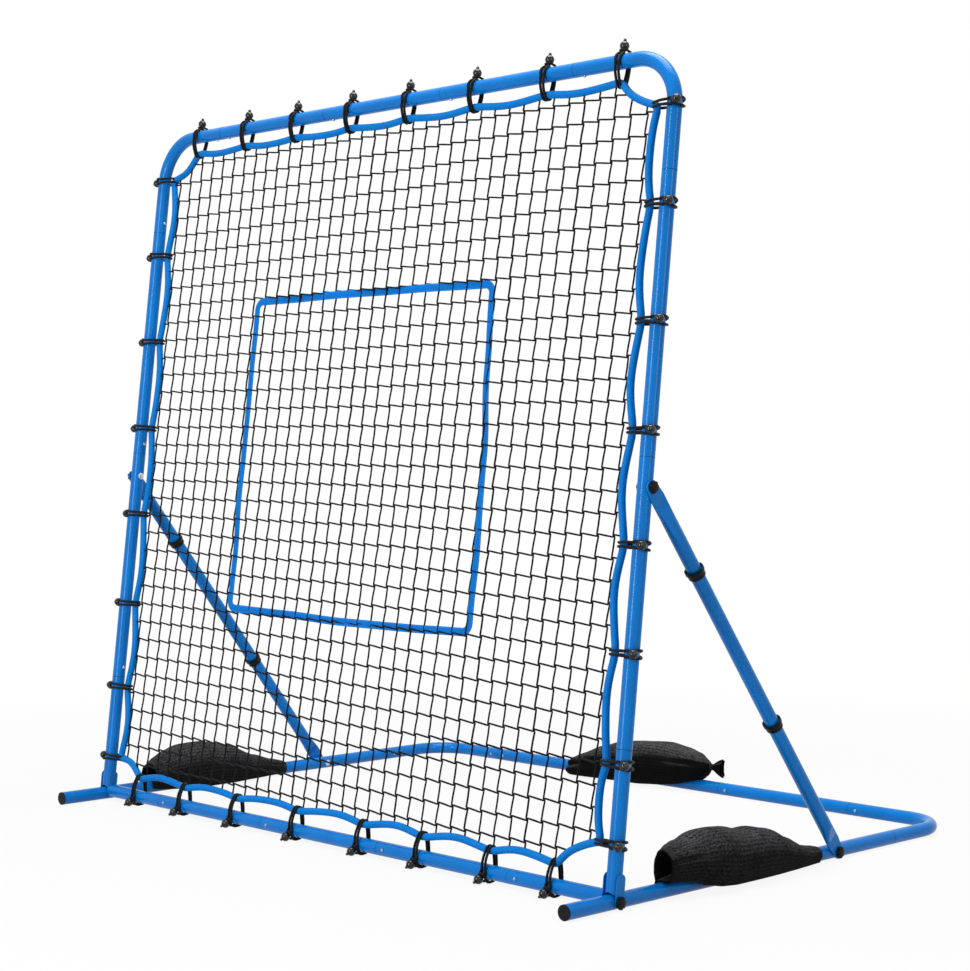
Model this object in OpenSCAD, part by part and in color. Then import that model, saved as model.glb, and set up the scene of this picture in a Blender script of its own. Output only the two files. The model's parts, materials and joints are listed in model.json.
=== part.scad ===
// Pitch back rebounder: a net in a tilting tube frame, on a three-sided ground frame with
// two telescoping braces and three sandbags. Millimetres, +Z up, +Y to the rear.

/* [Net frame] */
// Distance between the axes of the two uprights
frame_w = 1920; // [1500:10:2200]
// Distance from the tilt axis to the axis of the top tube
frame_h = 1870; // [1600:10:2100]
// Backward lean of the net frame from upright, degrees
lean = 6.4; // [2:0.1:12]
// Outer diameter of every frame tube
tube_d = 35; // [30:0.5:40]
// Wall thickness of the tubes
tube_wall = 1.5; // [1:0.1:2.5]
// Centreline radius of the four bent corners
bend_r = 120; // [80:5:160]
// Length of a right corner piece along the top or rear tube; a left one lacks its spigot
corner_leg_x = 308; // [240:2:360]
// Length of a corner piece down the upright or along the base side
corner_leg_z = 265; // [220:2:320]
// Height of the welded foot piece up the upright
foot_leg_h = 328; // [240:2:400]
// Length of the right welded foot piece along the crossbar; the left one lacks its spigot
foot_leg_w = 308; // [240:2:360]
// Height of the crossbar's axis over the tilt axis
cross_rise = 7; // [5:0.5:10]

/* [Ground frame] */
// Length of the free stub in front of each upright
stub_len = 154; // [100:2:220]
// Distance from the tilt axis back to the axis of the rear tube
base_depth = 1311; // [1150:1:1500]

/* [Tube joints] */
// Length of the reduced end that slides into the next tube
spigot_len = 44; // [40:1:60]
// Radial play between a reduced end and the tube around it
spigot_play = 0.2; // [0.1:0.05:0.4]
// Gap that shows as the seam between two tubes
seam_gap = 0.5; // [0.3:0.1:1]
// Length over which a tube is necked down to its reduced end
neck_len = 5; // [3:0.5:8]
// Distance from a seam to its snap button
button_off = 27; // [20:1:35]
// Diameter of a snap button
button_d = 8; // [6:0.5:9]
// Height of a snap button over the tube
button_out = 3; // [2:0.25:3.5]
// Travel of a snap button when it is pressed
button_travel = 2.8; // [2:0.1:3]
// Radial play round a snap button
button_play = 0.3; // [0.2:0.05:0.5]
// Width of the leaf spring under a snap button
leaf_w = 9; // [7:0.5:11]
// Thickness of the leaf spring
leaf_t = 1; // [0.8:0.1:1.5]
// Length of each arm of the folded leaf spring
leaf_len = 34; // [28:1:40]
// Gap between the leaf spring and the inside of the reduced end
leaf_gap = 1.2; // [0.6:0.1:2]

/* [Tilt joint] */
// Diameter of every clamp bolt
bolt_d = 8; // [6:0.5:10]
// Radial play of a bolt in its hole
bolt_play = 0.3; // [0.2:0.05:0.5]
// Diameter of a bolt's domed head
head_d = 18; // [14:0.5:20]
// Height of a bolt's domed head
head_h = 4.5; // [3:0.5:6]
// Thickness of the two ears that straddle the base tube
ear_t = 3; // [2:0.5:5]
// Width of an ear
ear_w = 26; // [20:1:30]
// Height of an ear up the side of the upright
ear_h = 62; // [52:1:80]
// Play between the ears and the base tube
ear_play = 0.4; // [0.3:0.05:0.8]
// Play between the notched upright and the base tube
notch_play = 0.7; // [0.5:0.1:1.5]
// Forward tilt of the net frame from rest, degrees
tilt_forward = 14.4; // [8:0.2:16]

/* [Braces] */
// Distance from the tilt axis back to the brace bolt on the base
brace_foot = 797; // [700:1:900]
// Outer diameter of a brace tube
brace_d = 34; // [30:0.5:36]
// Wall thickness of a brace tube
brace_wall = 1.5; // [1:0.1:2]
// Distance from the top bolt to the upper twist lock
lock_upper = 251; // [240:1:300]
// Distance from the top bolt to the lower twist lock
lock_lower = 716; // [660:1:760]
// Length of the inner slide tube above each lock
slide_len = 142; // [130:1:150]
// Radial play of a slide tube in its outer tube
slide_play = 0.3; // [0.3:0.05:0.6]
// Thickness of the flattened brace end
tab_t = 4.4; // [3.5:0.1:6]
// Width of the flattened brace end
tab_w = 42; // [36:1:48]
// Radius of the flattened brace end's tip
tab_r = 16; // [14:0.5:17]
// Length of the flattened end from its bolt
tab_len = 46; // [42:1:56]
// Length over which the brace goes from flat to round
tab_blend = 40; // [30:1:50]
// Radial play of the top bolt in the brace, where the linkage gives
give = 2.6; // [2.4:0.1:3]

/* [Twist locks] */
// Length of a twist lock
lock_len = 22; // [16:1:28]
// Outer diameter of a twist lock at its mouth
lock_d = 46; // [42:0.5:52]
// Outer diameter of a twist lock at its lower lip
lock_lip_d = 41; // [39:0.5:46]
// Radial play of a twist lock on its tubes
lock_play = 0.3; // [0.3:0.05:0.5]
// Length of the lip that closes on the inner tube
lock_lip = 4; // [3:0.5:6]
// Depth of the flared mouth
lock_mouth = 8; // [5:0.5:10]

/* [Knobs] */
// Outer diameter of a star knob
knob_d = 29; // [24:0.5:32]
// Thickness of a star knob
knob_h = 10; // [8:0.5:14]
// Number of lobes on a star knob
knob_lobes = 7; // [5:1:8]
// Diameter of one lobe
lobe_d = 8; // [6:0.5:9]
// Gap between a star knob and what it clamps
knob_gap = 0.3; // [0.2:0.05:0.5]
// Radial play of a star knob on its bolt
knob_play = 0.06; // [0.03:0.01:0.1]

/* [Net] */
// Diameter of the padded border rope
border_d = 18; // [14:0.5:20]
// Distance from a tube axis to the border rope at a tie
tie_reach = 47; // [42:0.5:54]
// Inward bow of the border between the ties of the top
bow_top = 9; // [4:1:16]
// Inward bow of the border between the ties of the bottom
bow_bottom = 14; // [6:1:20]
// Inward bow of the border between the ties of the sides
bow_side = 17; // [6:1:22]
// Thickness of the net
net_t = 3; // [2:0.5:4]
// Width of a net strand
strand_w = 3.2; // [2.5:0.1:5]
// Number of open squares across the net, and up it
net_cells = 17; // [10:1:17]
// Width of the strike zone between band centres
zone_w = 918; // [700:2:1000]
// Height of the strike zone between band centres
zone_h = 832; // [700:2:900]
// Height of the strike zone's lower band over the tilt axis
zone_s = 553; // [450:1:650]
// Sideways place of the strike zone's middle
zone_x = -8; // [-40:1:40]
// Width of the strike zone's band
band_w = 20; // [14:0.5:30]
// Thickness of the strike zone's band
band_t = 1.2; // [1:0.1:2]
// Corner radius of the strike zone
zone_r = 26; // [22:1:60]

/* [Ties] */
// Number of ties on each side of the net
ties = 8; // [6:1:10]
// Distance from a frame corner to the first tie of the top and the bottom
tie_end_x = 160; // [140:5:200]
// Distance from a frame corner to the first tie of a side
tie_end_s = 115; // [105:5:160]
// Diameter of the elastic cord
cord_d = 6; // [4:0.5:7]
// Gap between the two strands of a tie
cord_gap = 0.6; // [0.4:0.1:1.5]
// Diameter of a tie's ball
ball_d = 22; // [18:0.5:25]
// Play between a tie and what it holds
tie_play = 0.3; // [0.2:0.05:0.5]
// Height of the lowest balls over the ground
ball_ground = 0.6; // [0.4:0.1:2]
// Turn of the right-hand balls towards the front, degrees
ball_turn = 45; // [0:5:60]

/* [End caps] */
// Thickness of an end cap's visible disc
cap_t = 3; // [2:0.5:5]
// Length of an end cap's plug
cap_plug = 22; // [15:1:35]
// Wall of an end cap's hollow plug
cap_wall = 2; // [1.5:0.1:3]
// Radial play of an end cap's plug
cap_play = 0.15; // [0.1:0.05:0.3]

/* [Sandbags] */
// Length of the right sandbag
bag_len = 585; // [500:5:620]
// Length of the left and the rear sandbag, which lie bunched
bag_len_short = 520; // [450:5:600]
// Width of a sandbag
bag_w = 168; // [140:2:200]
// Height of a sandbag over the ground
bag_h = 138; // [110:2:160]
// Gap between a sandbag and the tube under it
bag_gap = 0.4; // [0.3:0.05:0.8]
// Distance from the right sandbag to the brace bolt behind it
bag_back_right = 47; // [40:1:100]
// Distance from the left sandbag to the brace bolt behind it
bag_back_left = 143; // [40:1:160]
// Sideways place of the rear sandbag's middle
bag_rear_x = -100; // [-120:1:60]
// Length of the rear sandbag's tied tail
bag_tail = 50; // [40:2:80]

/* [Hidden] */

// Roundness of tubes, and of bolts
$fn = 48;
fn_small = 32;
// Overshoot of a cutting shape past what it cuts
over = 1;

// Tubes
tube_r = tube_d / 2;
bore_r = tube_r - tube_wall;
spigot_r = bore_r - spigot_play;
spigot_bore_r = spigot_r - tube_wall;
// A leaf's edges bound its height inside the round bore; its free arm leaves room to be pressed
leaf_y = sqrt(pow(spigot_bore_r, 2) - pow(leaf_w / 2, 2)) - leaf_gap;
leaf_open = asin((2 * leaf_y - button_travel - 2 * leaf_t) / leaf_len);
// Chamfer of a button's tip
rim = 1;
half_w = frame_w / 2;
// The tubes lie on the ground; the footprint, out to the rear bag, is centred on the origin
axis_z = tube_r;
bag_fn = 24;
bag_half = bag_w / 2 * cos(180 / bag_fn);
axis_y = stub_len - (stub_len + base_depth + bag_half) / 2;
rear_y = axis_y + base_depth;

// Leg of a corner along its row: the left one gives way to the sleeve that it carries
function row_leg(leg, side) = side < 0 ? leg - spigot_len : leg;
// Seams, measured from the left upright, up the upright, and back along a base side
top_mid = (frame_w - 2 * corner_leg_x + spigot_len) / 3;
cross_mid = (frame_w - 2 * foot_leg_w + spigot_len) / 3;
upright_mid = (frame_h - corner_leg_z - foot_leg_h) / 2;
base_seam = base_depth - corner_leg_z;
top_seams = [for (i = [0 : 3]) -half_w + row_leg(corner_leg_x, -1) + i * top_mid];
cross_seams = [for (i = [0 : 3]) -half_w + row_leg(foot_leg_w, -1) + i * cross_mid];
upright_seams = [for (i = [0 : 2]) foot_leg_h + i * upright_mid];

// Tilt joint
hole_r = bolt_d / 2 + bolt_play;
ear_x = tube_r + ear_play;
notch_r = (tube_r + notch_play) / cos(tilt_forward / 2) + tube_r * tan(tilt_forward / 2);
// Weld between an ear and the upright: how deep it goes into the wall, its width, its foot
weld_lap = 3;
weld_w = 14;
weld_z = tube_r + 6;

// Braces, drawn along the line from the lower bolt to the upper one
brace_x = half_w + tube_r + ear_play + tab_t / 2;
brace_r = brace_d / 2;
brace_bore_r = brace_r - brace_wall;
slide_r = brace_bore_r - slide_play;
slide_bore_r = slide_r - brace_wall;
// The brace bolts sit a little under half-way up the uprights, clear of the middle seam
brace_top = frame_h * 53 / 110;
top_pt = [brace_top * sin(lean), brace_top * cos(lean)];
brace_run = [top_pt[0] - brace_foot, top_pt[1]];
brace_len = norm(brace_run);
brace_tip = atan2(-brace_run[0], brace_run[1]);
tab_end = tab_len + tab_blend;
// The faceted blend ends just inside the round tube's wall
tab_inset = 0.15;

// Knobs sit outboard of an ear or a brace end
tilt_knob_x = half_w + ear_x + ear_t + knob_gap;
brace_knob_x = brace_x + tab_t / 2 + knob_gap;

// Net border and ties, in the plane of the net: x to the right, s up from the tilt axis
border_r = border_d / 2;
cord_r = cord_d / 2;
ball_r = ball_d / 2;
tie_step_x = (frame_w - 2 * tie_end_x) / (ties - 1);
tie_step_s = (frame_h - 2 * tie_end_s) / (ties - 1);
// Hand-tied places differ a little from even steps: one shift per tie, left to right or upward
shift_top = [-2, -15, -30, -33, -40, -27, -11, -4];
shift_bottom = [-8, -27, -25, -5, 21, 7, 8, -14];
shift_left = [-13, -48, -45, -25, -14, 1, 14, -1];
shift_right = [7, -55, -48, -46, -27, -18, 10, 1];
function shift(list, i) = i < len(list) ? list[i] : 0;
function tie_x(list, i) = -half_w + tie_end_x + i * tie_step_x + shift(list, i);
function tie_s(list, i) = tie_end_s + i * tie_step_s + shift(list, i);
border_corners = concat(
    [for (i = [0 : ties - 1]) [tie_x(shift_bottom, i), cross_rise + tie_reach]],
    [for (i = [0 : ties - 1]) [half_w - tie_reach, tie_s(shift_right, i)]],
    [for (i = [ties - 1 : -1 : 0]) [tie_x(shift_top, i), frame_h - tie_reach]],
    [for (i = [ties - 1 : -1 : 0]) [tie_reach - half_w, tie_s(shift_left, i)]]
);
bow_corner = 14;
function span_bow(i) =
    let (side = floor(i / ties), last = (i % ties) == ties - 1)
    last ? bow_corner : side == 0 ? bow_bottom : side == 2 ? bow_top : bow_side;
// Point on span i of the border at u from 0 to 1: a straight line bowed towards the net
span_steps = 4;
function border_point(i, u) =
    let (
        a = border_corners[i],
        b = border_corners[(i + 1) % len(border_corners)],
        d = (b - a) / norm(b - a),
        inward = [-d[1], d[0]]
    )
    a + (b - a) * u + inward * span_bow(i) * sin(180 * u);
border_path = [
    for (i = [0 : len(border_corners) - 1], k = [0 : span_steps - 1])
        border_point(i, k / span_steps)
];

// Open squares of the net, inside the deepest bow of its border; a corner one is a triangle
mesh_x0 = tie_reach - half_w + bow_side + strand_w;
mesh_s0 = cross_rise + tie_reach + bow_bottom + strand_w;
mesh_px = -2 * mesh_x0 / net_cells;
mesh_ps = (frame_h - tie_reach - bow_top - strand_w - mesh_s0) / net_cells;
function hole(i, j) =
    let (
        x0 = mesh_x0 + i * mesh_px + strand_w / 2,
        x1 = x0 + mesh_px - strand_w,
        s0 = mesh_s0 + j * mesh_ps + strand_w / 2,
        s1 = s0 + mesh_ps - strand_w,
        m = net_cells - 1,
        corners = [[x0, s0], [x1, s0], [x1, s1], [x0, s1]],
        cut = i == 0 && j == 0 ? 0 : i == m && j == 0 ? 1 : i == m && j == m ? 2 : i == 0 && j == m ? 3 : 4
    )
    [for (k = [0 : 3]) if (k != cut) corners[k]];

// --- Placing helpers ---

// The net frame's own axes: x across, y through the net, z up the uprights from the tilt axis
module on_frame() {
    translate([0, axis_y, axis_z])
        rotate([-lean, 0, 0])
            children();
}

// A brace's own axes: z from the lower bolt to the upper one, x outboard
module on_brace(side) {
    translate([side * brace_x, axis_y + brace_foot, axis_z])
        rotate([brace_tip, 0, 0])
            children();
}

// Children drawn along +Z, laid along +X from a given x
module along_x(x0) {
    translate([x0, 0, 0])
        rotate([0, 90, 0])
            children();
}

// Children drawn for the right side, mirrored for the left
module on_side(side) {
    mirror([side < 0 ? 1 : 0, 0, 0])
        children();
}

// --- Tube parts ---

// Hole through one wall for a snap button: face turns it about the tube
module button_hole(z, face) {
    translate([0, 0, z])
        rotate([0, 0, face])
            rotate([-90, 0, 0])
                cylinder(h = tube_r + over, r = button_d / 2 + button_play, $fn = fn_small);
}

// Bolt hole across the tube along X
module cross_hole(z, r = hole_r) {
    translate([-tube_r - over, 0, z])
        rotate([0, 90, 0])
            cylinder(h = tube_d + 2 * over, r = r, $fn = fn_small);
}

// Tube along +Z from seam a to seam b; a reduced end, thick over its neck, goes past b
module tube_run(a, b, spigot = true, neck = neck_len, gap_a = seam_gap / 2, gap_b = seam_gap / 2) {
    z0 = a + gap_a;
    z1 = b - gap_b;
    z2 = spigot ? b + spigot_len : z1;
    difference() {
        union() {
            translate([0, 0, z0])
                cylinder(h = z1 - z0, r = tube_r);
            if (spigot)
                translate([0, 0, z1 - neck])
                    cylinder(h = z2 - z1 + neck, r = spigot_r);
        }
        translate([0, 0, z0 - over])
            cylinder(h = z1 - z0 + over - (spigot ? neck : -over), r = bore_r);
        if (spigot)
            translate([0, 0, z0])
                cylinder(h = z2 - z0 + over, r = spigot_bore_r);
    }
}

// Hollow quarter bend, drawn in the XZ plane from +Z travel to +X travel, around (bend_r, 0)
module bend() {
    translate([bend_r, 0, 0])
        rotate([90, 0, 0])
            rotate([0, 0, 90])
                rotate_extrude(angle = 90)
                    translate([bend_r, 0])
                        difference() {
                            circle(r = tube_r);
                            circle(r = bore_r);
                        }
}

// Bent corner: a leg up +Z to the corner height, then across +X; the corner point is the origin
module bent_corner(leg_down, leg_across, spigot_across) {
    // The left corners hold a separate joining sleeve, so they are thick as far as it goes back
    translate([0, 0, -leg_down])
        tube_run(0, leg_down - bend_r, spigot = false, gap_b = 0);
    translate([0, 0, -bend_r])
        bend();
    along_x(0)
        tube_run(bend_r, leg_across, spigot = spigot_across, neck = spigot_len, gap_a = 0);
}

// Corner of the top or rear row; its row leg has button holes on the side of the other leg
module row_corner(side) {
    leg = row_leg(corner_leg_x, side);
    difference() {
        bent_corner(corner_leg_z, leg, side < 0);
        along_x(0) {
            button_hole(leg - button_off, -90);
            if (side < 0)
                button_hole(leg + button_off, -90);
        }
    }
}

// --- Ground frame ---

module base_side(side) {
    color("#0d6fd8")
        translate([side * half_w, axis_y, axis_z])
            rotate([-90, 0, 0])
                difference() {
                    tube_run(-stub_len + cap_t, base_seam, gap_a = 0);
                    button_hole(base_seam + button_off, side > 0 ? 90 : -90);
                    cross_hole(0);
                    cross_hole(brace_foot);
                }
}

// The corner lies flat: its leg runs back along the base side, its other leg across the rear
module base_corner(side) {
    color("#0d6fd8")
        translate([side * half_w, rear_y, axis_z])
            on_side(-side)
                rotate([-90, 0, 0])
                    difference() {
                        row_corner(side);
                        button_hole(button_off - corner_leg_z, -90);
                    }
}

module rear_tube(i) {
    color("#0d6fd8")
        translate([0, rear_y, axis_z])
            row_tube(top_seams[i], top_seams[i + 1], 0);
}

// Tube of a row along X with a button hole near each end, facing -Y when face is 0
module row_tube(a, b, face) {
    along_x(0)
        difference() {
            tube_run(a, b);
            button_hole(a + button_off, 180 + face);
            button_hole(b + button_off, 180 + face);
        }
}

// Plugs that close the front ends of the base
module end_caps() {
    color("#161616")
        for (side = [-1, 1])
            translate([side * half_w, axis_y - stub_len, axis_z])
                rotate([-90, 0, 0])
                    end_cap();
}

module end_cap() {
    cylinder(h = cap_t, r = tube_r);
    translate([0, 0, cap_t])
        difference() {
            cylinder(h = cap_plug, r = bore_r - cap_play);
            cylinder(h = cap_plug + over, r = bore_r - cap_play - cap_wall);
        }
}

// --- Bolts and knobs ---

// Domed bolt along +X from the inner side: the head's flat face is at x = 0
module clamp_bolt(shank) {
    rotate([0, 90, 0])
        union() {
            cylinder(h = shank, d = bolt_d, $fn = fn_small);
            intersection() {
                translate([0, 0, -head_h])
                    cylinder(h = head_h, d = head_d, $fn = fn_small);
                translate([0, 0, head_d * 0.75 - head_h])
                    sphere(r = head_d * 0.75, $fn = fn_small);
            }
        }
}

// Star knob along +X with its flat face at x = 0, bored for its bolt
module star_knob() {
    ring_r = (knob_d - lobe_d) / 2;
    color("#1a1a1a")
        rotate([0, 90, 0])
            difference() {
                intersection() {
                    union() {
                        cylinder(h = knob_h, r = ring_r);
                        for (i = [0 : knob_lobes - 1])
                            rotate([0, 0, i * 360 / knob_lobes])
                                translate([ring_r, 0, 0])
                                    cylinder(h = knob_h, d = lobe_d, $fn = fn_small);
                    }
                    translate([0, 0, knob_h - knob_d])
                        sphere(r = knob_d);
                }
                translate([0, 0, -over])
                    cylinder(h = knob_h - 2 + over, r = bolt_d / 2 + knob_play, $fn = fn_small);
            }
}

// A bolt ends this far short of the blind end of its knob
bolt_short = 1;
knob_grip = knob_gap + knob_h - 2 - bolt_short;

// Tilt bolts: their heads are inside the crossbar's ends
module tilt_bolts() {
    x0 = -ear_x - ear_t;
    color("#b9bcc0")
        on_frame()
            for (side = [-1, 1])
                on_side(side)
                    translate([half_w + x0, 0, 0])
                        clamp_bolt(2 * (ear_x + ear_t) + knob_grip);
}

// Brace bolts through a tube: the head bears on the tube's inner side
module through_bolt() {
    x0 = -tube_r;
    translate([half_w + x0, 0, 0])
        clamp_bolt(tube_d + ear_play + tab_t + knob_grip);
}

module brace_top_bolts() {
    color("#b9bcc0")
        on_frame()
            for (side = [-1, 1])
                on_side(side)
                    translate([0, 0, brace_top])
                        through_bolt();
}

module brace_foot_bolts() {
    color("#b9bcc0")
        translate([0, axis_y + brace_foot, axis_z])
            for (side = [-1, 1])
                on_side(side)
                    through_bolt();
}

module tilt_knob(side) {
    on_frame()
        on_side(side)
            translate([tilt_knob_x, 0, 0])
                star_knob();
}

module brace_top_knob(side) {
    on_frame()
        on_side(side)
            translate([brace_knob_x, 0, brace_top])
                star_knob();
}

module brace_foot_knob(side) {
    translate([0, axis_y + brace_foot, axis_z])
        on_side(side)
            translate([brace_knob_x, 0, 0])
                star_knob();
}

// --- Net frame ---

// One ear: a plate beside the base tube, welded to the side of the upright above it
module ear() {
    rotate([0, 90, 0])
        rotate([0, 0, 90])
            linear_extrude(height = ear_t)
                union() {
                    circle(d = ear_w);
                    translate([-ear_w / 2, 0])
                        square([ear_w, ear_h - ear_w / 2]);
                    translate([0, ear_h - ear_w / 2])
                        circle(d = ear_w);
                }
}

// Saddle over the base tube, wide enough for every tilt, in the net frame's own axes
module base_saddle() {
    rotate([lean - tilt_forward / 2, 0, 0])
        rotate([90, 0, 0])
            translate([0, 0, -2 * tube_d])
                cylinder(h = 4 * tube_d, r = notch_r);
}

// Welded foot piece for the right side when side is 1
module foot_corner(side) {
    cross_len = row_leg(foot_leg_w, side) - ear_x - ear_t;
    color("#0d6fd8")
        on_frame()
            on_side(side)
                translate([half_w, 0, 0])
                    difference() {
                        union() {
                            difference() {
                                union() {
                                    tube_run(0, foot_leg_h, gap_a = 0);
                                    for (x = [-ear_x, ear_x - weld_lap])
                                        translate([x, -weld_w / 2, weld_z])
                                            cube([weld_lap, weld_w, ear_h - ear_w / 2 - weld_z]);
                                }
                                base_saddle();
                                translate([0, 0, -over])
                                    cylinder(h = foot_leg_h / 2, r = bore_r);
                                button_hole(foot_leg_h + button_off, 90);
                            }
                            translate([ear_x, 0, 0])
                                ear();
                            translate([-ear_x - ear_t, 0, 0])
                                ear();
                            translate([-ear_x - ear_t, 0, cross_rise])
                                rotate([0, -90, 0])
                                    cross_stub(cross_len, side);
                            translate([-ear_x - ear_t, 0, cross_rise])
                                rotate([0, 90, 0])
                                    cylinder(h = ear_t, r = tube_r);
                        }
                        translate([-ear_x - ear_t - over, 0, 0])
                            rotate([0, 90, 0])
                                cylinder(h = 2 * (ear_x + ear_t + over), r = hole_r, $fn = fn_small);
                    }
}

// Crossbar stub along +Z, away from the ear
module cross_stub(len, side) {
    difference() {
        tube_run(0, len, spigot = side < 0, gap_a = 0);
        button_hole(len - side * button_off, 180);
    }
}

module upright_tube(side, i) {
    color("#0d6fd8")
        on_frame()
            on_side(side)
                translate([half_w, 0, 0])
                    difference() {
                        tube_run(upright_seams[i], upright_seams[i + 1]);
                        button_hole(upright_seams[i] + button_off, 90);
                        button_hole(upright_seams[i + 1] + button_off, 90);
                        if (i == 0)
                            cross_hole(brace_top);
                    }
}

module top_corner(side) {
    color("#0d6fd8")
        on_frame()
            translate([side * half_w, 0, frame_h])
                on_side(-side)
                    difference() {
                        row_corner(side);
                        button_hole(button_off - corner_leg_z, -90);
                    }
}

module top_tube(i) {
    color("#0d6fd8")
        on_frame()
            translate([0, 0, frame_h])
                row_tube(top_seams[i], top_seams[i + 1], 90);
}

module cross_tube(i) {
    color("#0d6fd8")
        on_frame()
            translate([0, 0, cross_rise])
                row_tube(cross_seams[i], cross_seams[i + 1], 0);
}

// --- Snap buttons ---

// Button facing +Y with its folded leaf spring inside the tube, which runs along +Z
module snap_button() {
    pin_h = tube_r + button_out - leaf_y - rim;
    translate([0, leaf_y, 0])
        rotate([-90, 0, 0]) {
            translate([0, 0, -leaf_t])
                cylinder(h = pin_h + leaf_t, d = button_d, $fn = fn_small);
            translate([0, 0, pin_h])
                cylinder(h = rim, r1 = button_d / 2, r2 = button_d / 2 - rim, $fn = fn_small);
        }
    translate([-leaf_w / 2, leaf_y - leaf_t, -leaf_len])
        cube([leaf_w, leaf_t, leaf_len + button_d / 2 + rim]);
    translate([-leaf_w / 2, leaf_y - leaf_t, -leaf_len]) {
        rotate([leaf_open, 0, 0])
            translate([0, -leaf_t, 0])
                cube([leaf_w, leaf_t, leaf_len]);
        rotate([0, 90, 0])
            cylinder(h = leaf_w, r = leaf_t, $fn = fn_small);
    }
}

// Buttons of a row along X: one past each seam, and one in the first corner if it has a sleeve
module row_buttons(seams, face, sleeve) {
    before = sleeve ? [seams[0] - button_off] : [];
    color("#c9ccd0")
        along_x(0)
            for (x = concat(before, [for (s = seams) s + button_off]))
                translate([0, 0, x])
                    rotate([0, 0, 180 + face])
                        snap_button();
}

module top_buttons() {
    on_frame()
        translate([0, 0, frame_h])
            row_buttons(top_seams, 90, true);
}

module cross_buttons() {
    on_frame()
        translate([0, 0, cross_rise])
            row_buttons(cross_seams, 0, false);
}

module rear_buttons() {
    translate([0, rear_y, axis_z])
        row_buttons(top_seams, 0, true);
}

module upright_buttons(side) {
    color("#c9ccd0")
        on_frame()
            on_side(side)
                translate([half_w, 0, 0])
                    for (s = upright_seams)
                        translate([0, 0, s + button_off])
                            rotate([0, 0, 90])
                                snap_button();
}

module side_button(side) {
    color("#c9ccd0")
        translate([side * half_w, axis_y + base_seam + button_off, axis_z])
            rotate([-90, 0, 0])
                rotate([0, 0, side > 0 ? 90 : -90])
                    snap_button();
}

// --- Braces ---

// Flattened end of a brace with its bolt at the origin, going along +Z
module brace_tab(r_hole) {
    difference() {
        rotate([0, 0, 90])
            rotate([90, 0, 0])
                translate([0, 0, -tab_t / 2])
                    linear_extrude(height = tab_t)
                        difference() {
                            union() {
                                circle(r = tab_r);
                                polygon([
                                    [-tab_r, 0], [tab_r, 0],
                                    [tab_w / 2, tab_len * 0.7], [tab_w / 2, tab_len],
                                    [-tab_w / 2, tab_len], [-tab_w / 2, tab_len * 0.7]
                                ]);
                            }
                            circle(r = r_hole);
                        }
    }
    hull() {
        translate([-tab_t / 2, -tab_w / 2, tab_len - 0.5])
            cube([tab_t, tab_w, 0.5]);
        translate([0, 0, tab_end])
            cylinder(h = 0.5, r = brace_r - tab_inset, $fn = fn_small);
    }
}

// Round brace tube along +Z from a to b
module brace_tube(a, b) {
    translate([0, 0, a])
        difference() {
            cylinder(h = b - a, r = brace_r);
            translate([0, 0, -over])
                cylinder(h = b - a + 2 * over, r = brace_bore_r);
        }
}

// Inner slide tube that goes up from the shoulder of a section
module slide_tube(a, b) {
    difference() {
        union() {
            translate([0, 0, a])
                cylinder(h = b - a, r = slide_r);
            translate([0, 0, a - neck_len])
                cylinder(h = neck_len, r = brace_r);
        }
        translate([0, 0, a - neck_len - over])
            cylinder(h = b - a + neck_len + 2 * over, r = slide_bore_r);
    }
}

// Places along a brace, measured up from the lower bolt
z_upper_lock = brace_len - lock_upper;
z_lower_lock = brace_len - lock_lower;
// The outer tube ends inside the lock; the next section's shoulder lies just under the lip
lock_seat = lock_lip + lock_play;
shoulder_drop = lock_seat + lock_play;

module brace_upper(side) {
    color("#0d6fd8")
        on_brace(side) {
            brace_tube(z_upper_lock, brace_len - tab_end);
            translate([0, 0, brace_len])
                mirror([0, 0, 1])
                    brace_tab(bolt_d / 2 + give);
        }
}

module brace_middle(side) {
    shoulder = z_upper_lock - shoulder_drop;
    color("#0d6fd8")
        on_brace(side) {
            brace_tube(z_lower_lock, shoulder - neck_len);
            slide_tube(shoulder, z_upper_lock + slide_len);
        }
}

module brace_lower(side) {
    shoulder = z_lower_lock - shoulder_drop;
    color("#0d6fd8")
        on_brace(side) {
            brace_tube(tab_end, shoulder - neck_len);
            slide_tube(shoulder, z_lower_lock + slide_len);
            brace_tab(hole_r);
        }
}

// Twist lock: a cup round the end of the outer tube with a lip on the inner tube
module twist_lock() {
    mouth_r = lock_d / 2;
    lip_r = lock_lip_d / 2;
    cup_r = brace_r + lock_play;
    cup_top = lock_len - lock_seat;
    wall = mouth_r - 3;
    color("#141414")
        rotate_extrude()
            polygon([
                [slide_r + lock_play, -lock_seat], [lip_r - 1, -lock_seat], [lip_r, 1 - lock_seat],
                [lip_r + 0.5, cup_top - lock_mouth - 3], [mouth_r, cup_top - lock_mouth],
                [mouth_r, cup_top], [wall, cup_top], [cup_r, cup_top - lock_mouth],
                [cup_r, -lock_play], [slide_r + lock_play, -lock_play]
            ]);
}

module upper_lock(side) {
    on_brace(side)
        translate([0, 0, z_upper_lock])
            twist_lock();
}

module lower_lock(side) {
    on_brace(side)
        translate([0, 0, z_lower_lock])
            twist_lock();
}

// --- Net ---

module net() {
    color("#1b1b1b")
        on_frame()
            rotate([90, 0, 0])
                translate([0, 0, -net_t / 2])
                    difference() {
                        linear_extrude(height = net_t)
                            polygon(border_path);
                        for (i = [0 : net_cells - 1], j = [0 : net_cells - 1])
                            translate([0, 0, -over])
                                linear_extrude(height = net_t + 2 * over)
                                    polygon(hole(i, j));
                    }
}

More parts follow.
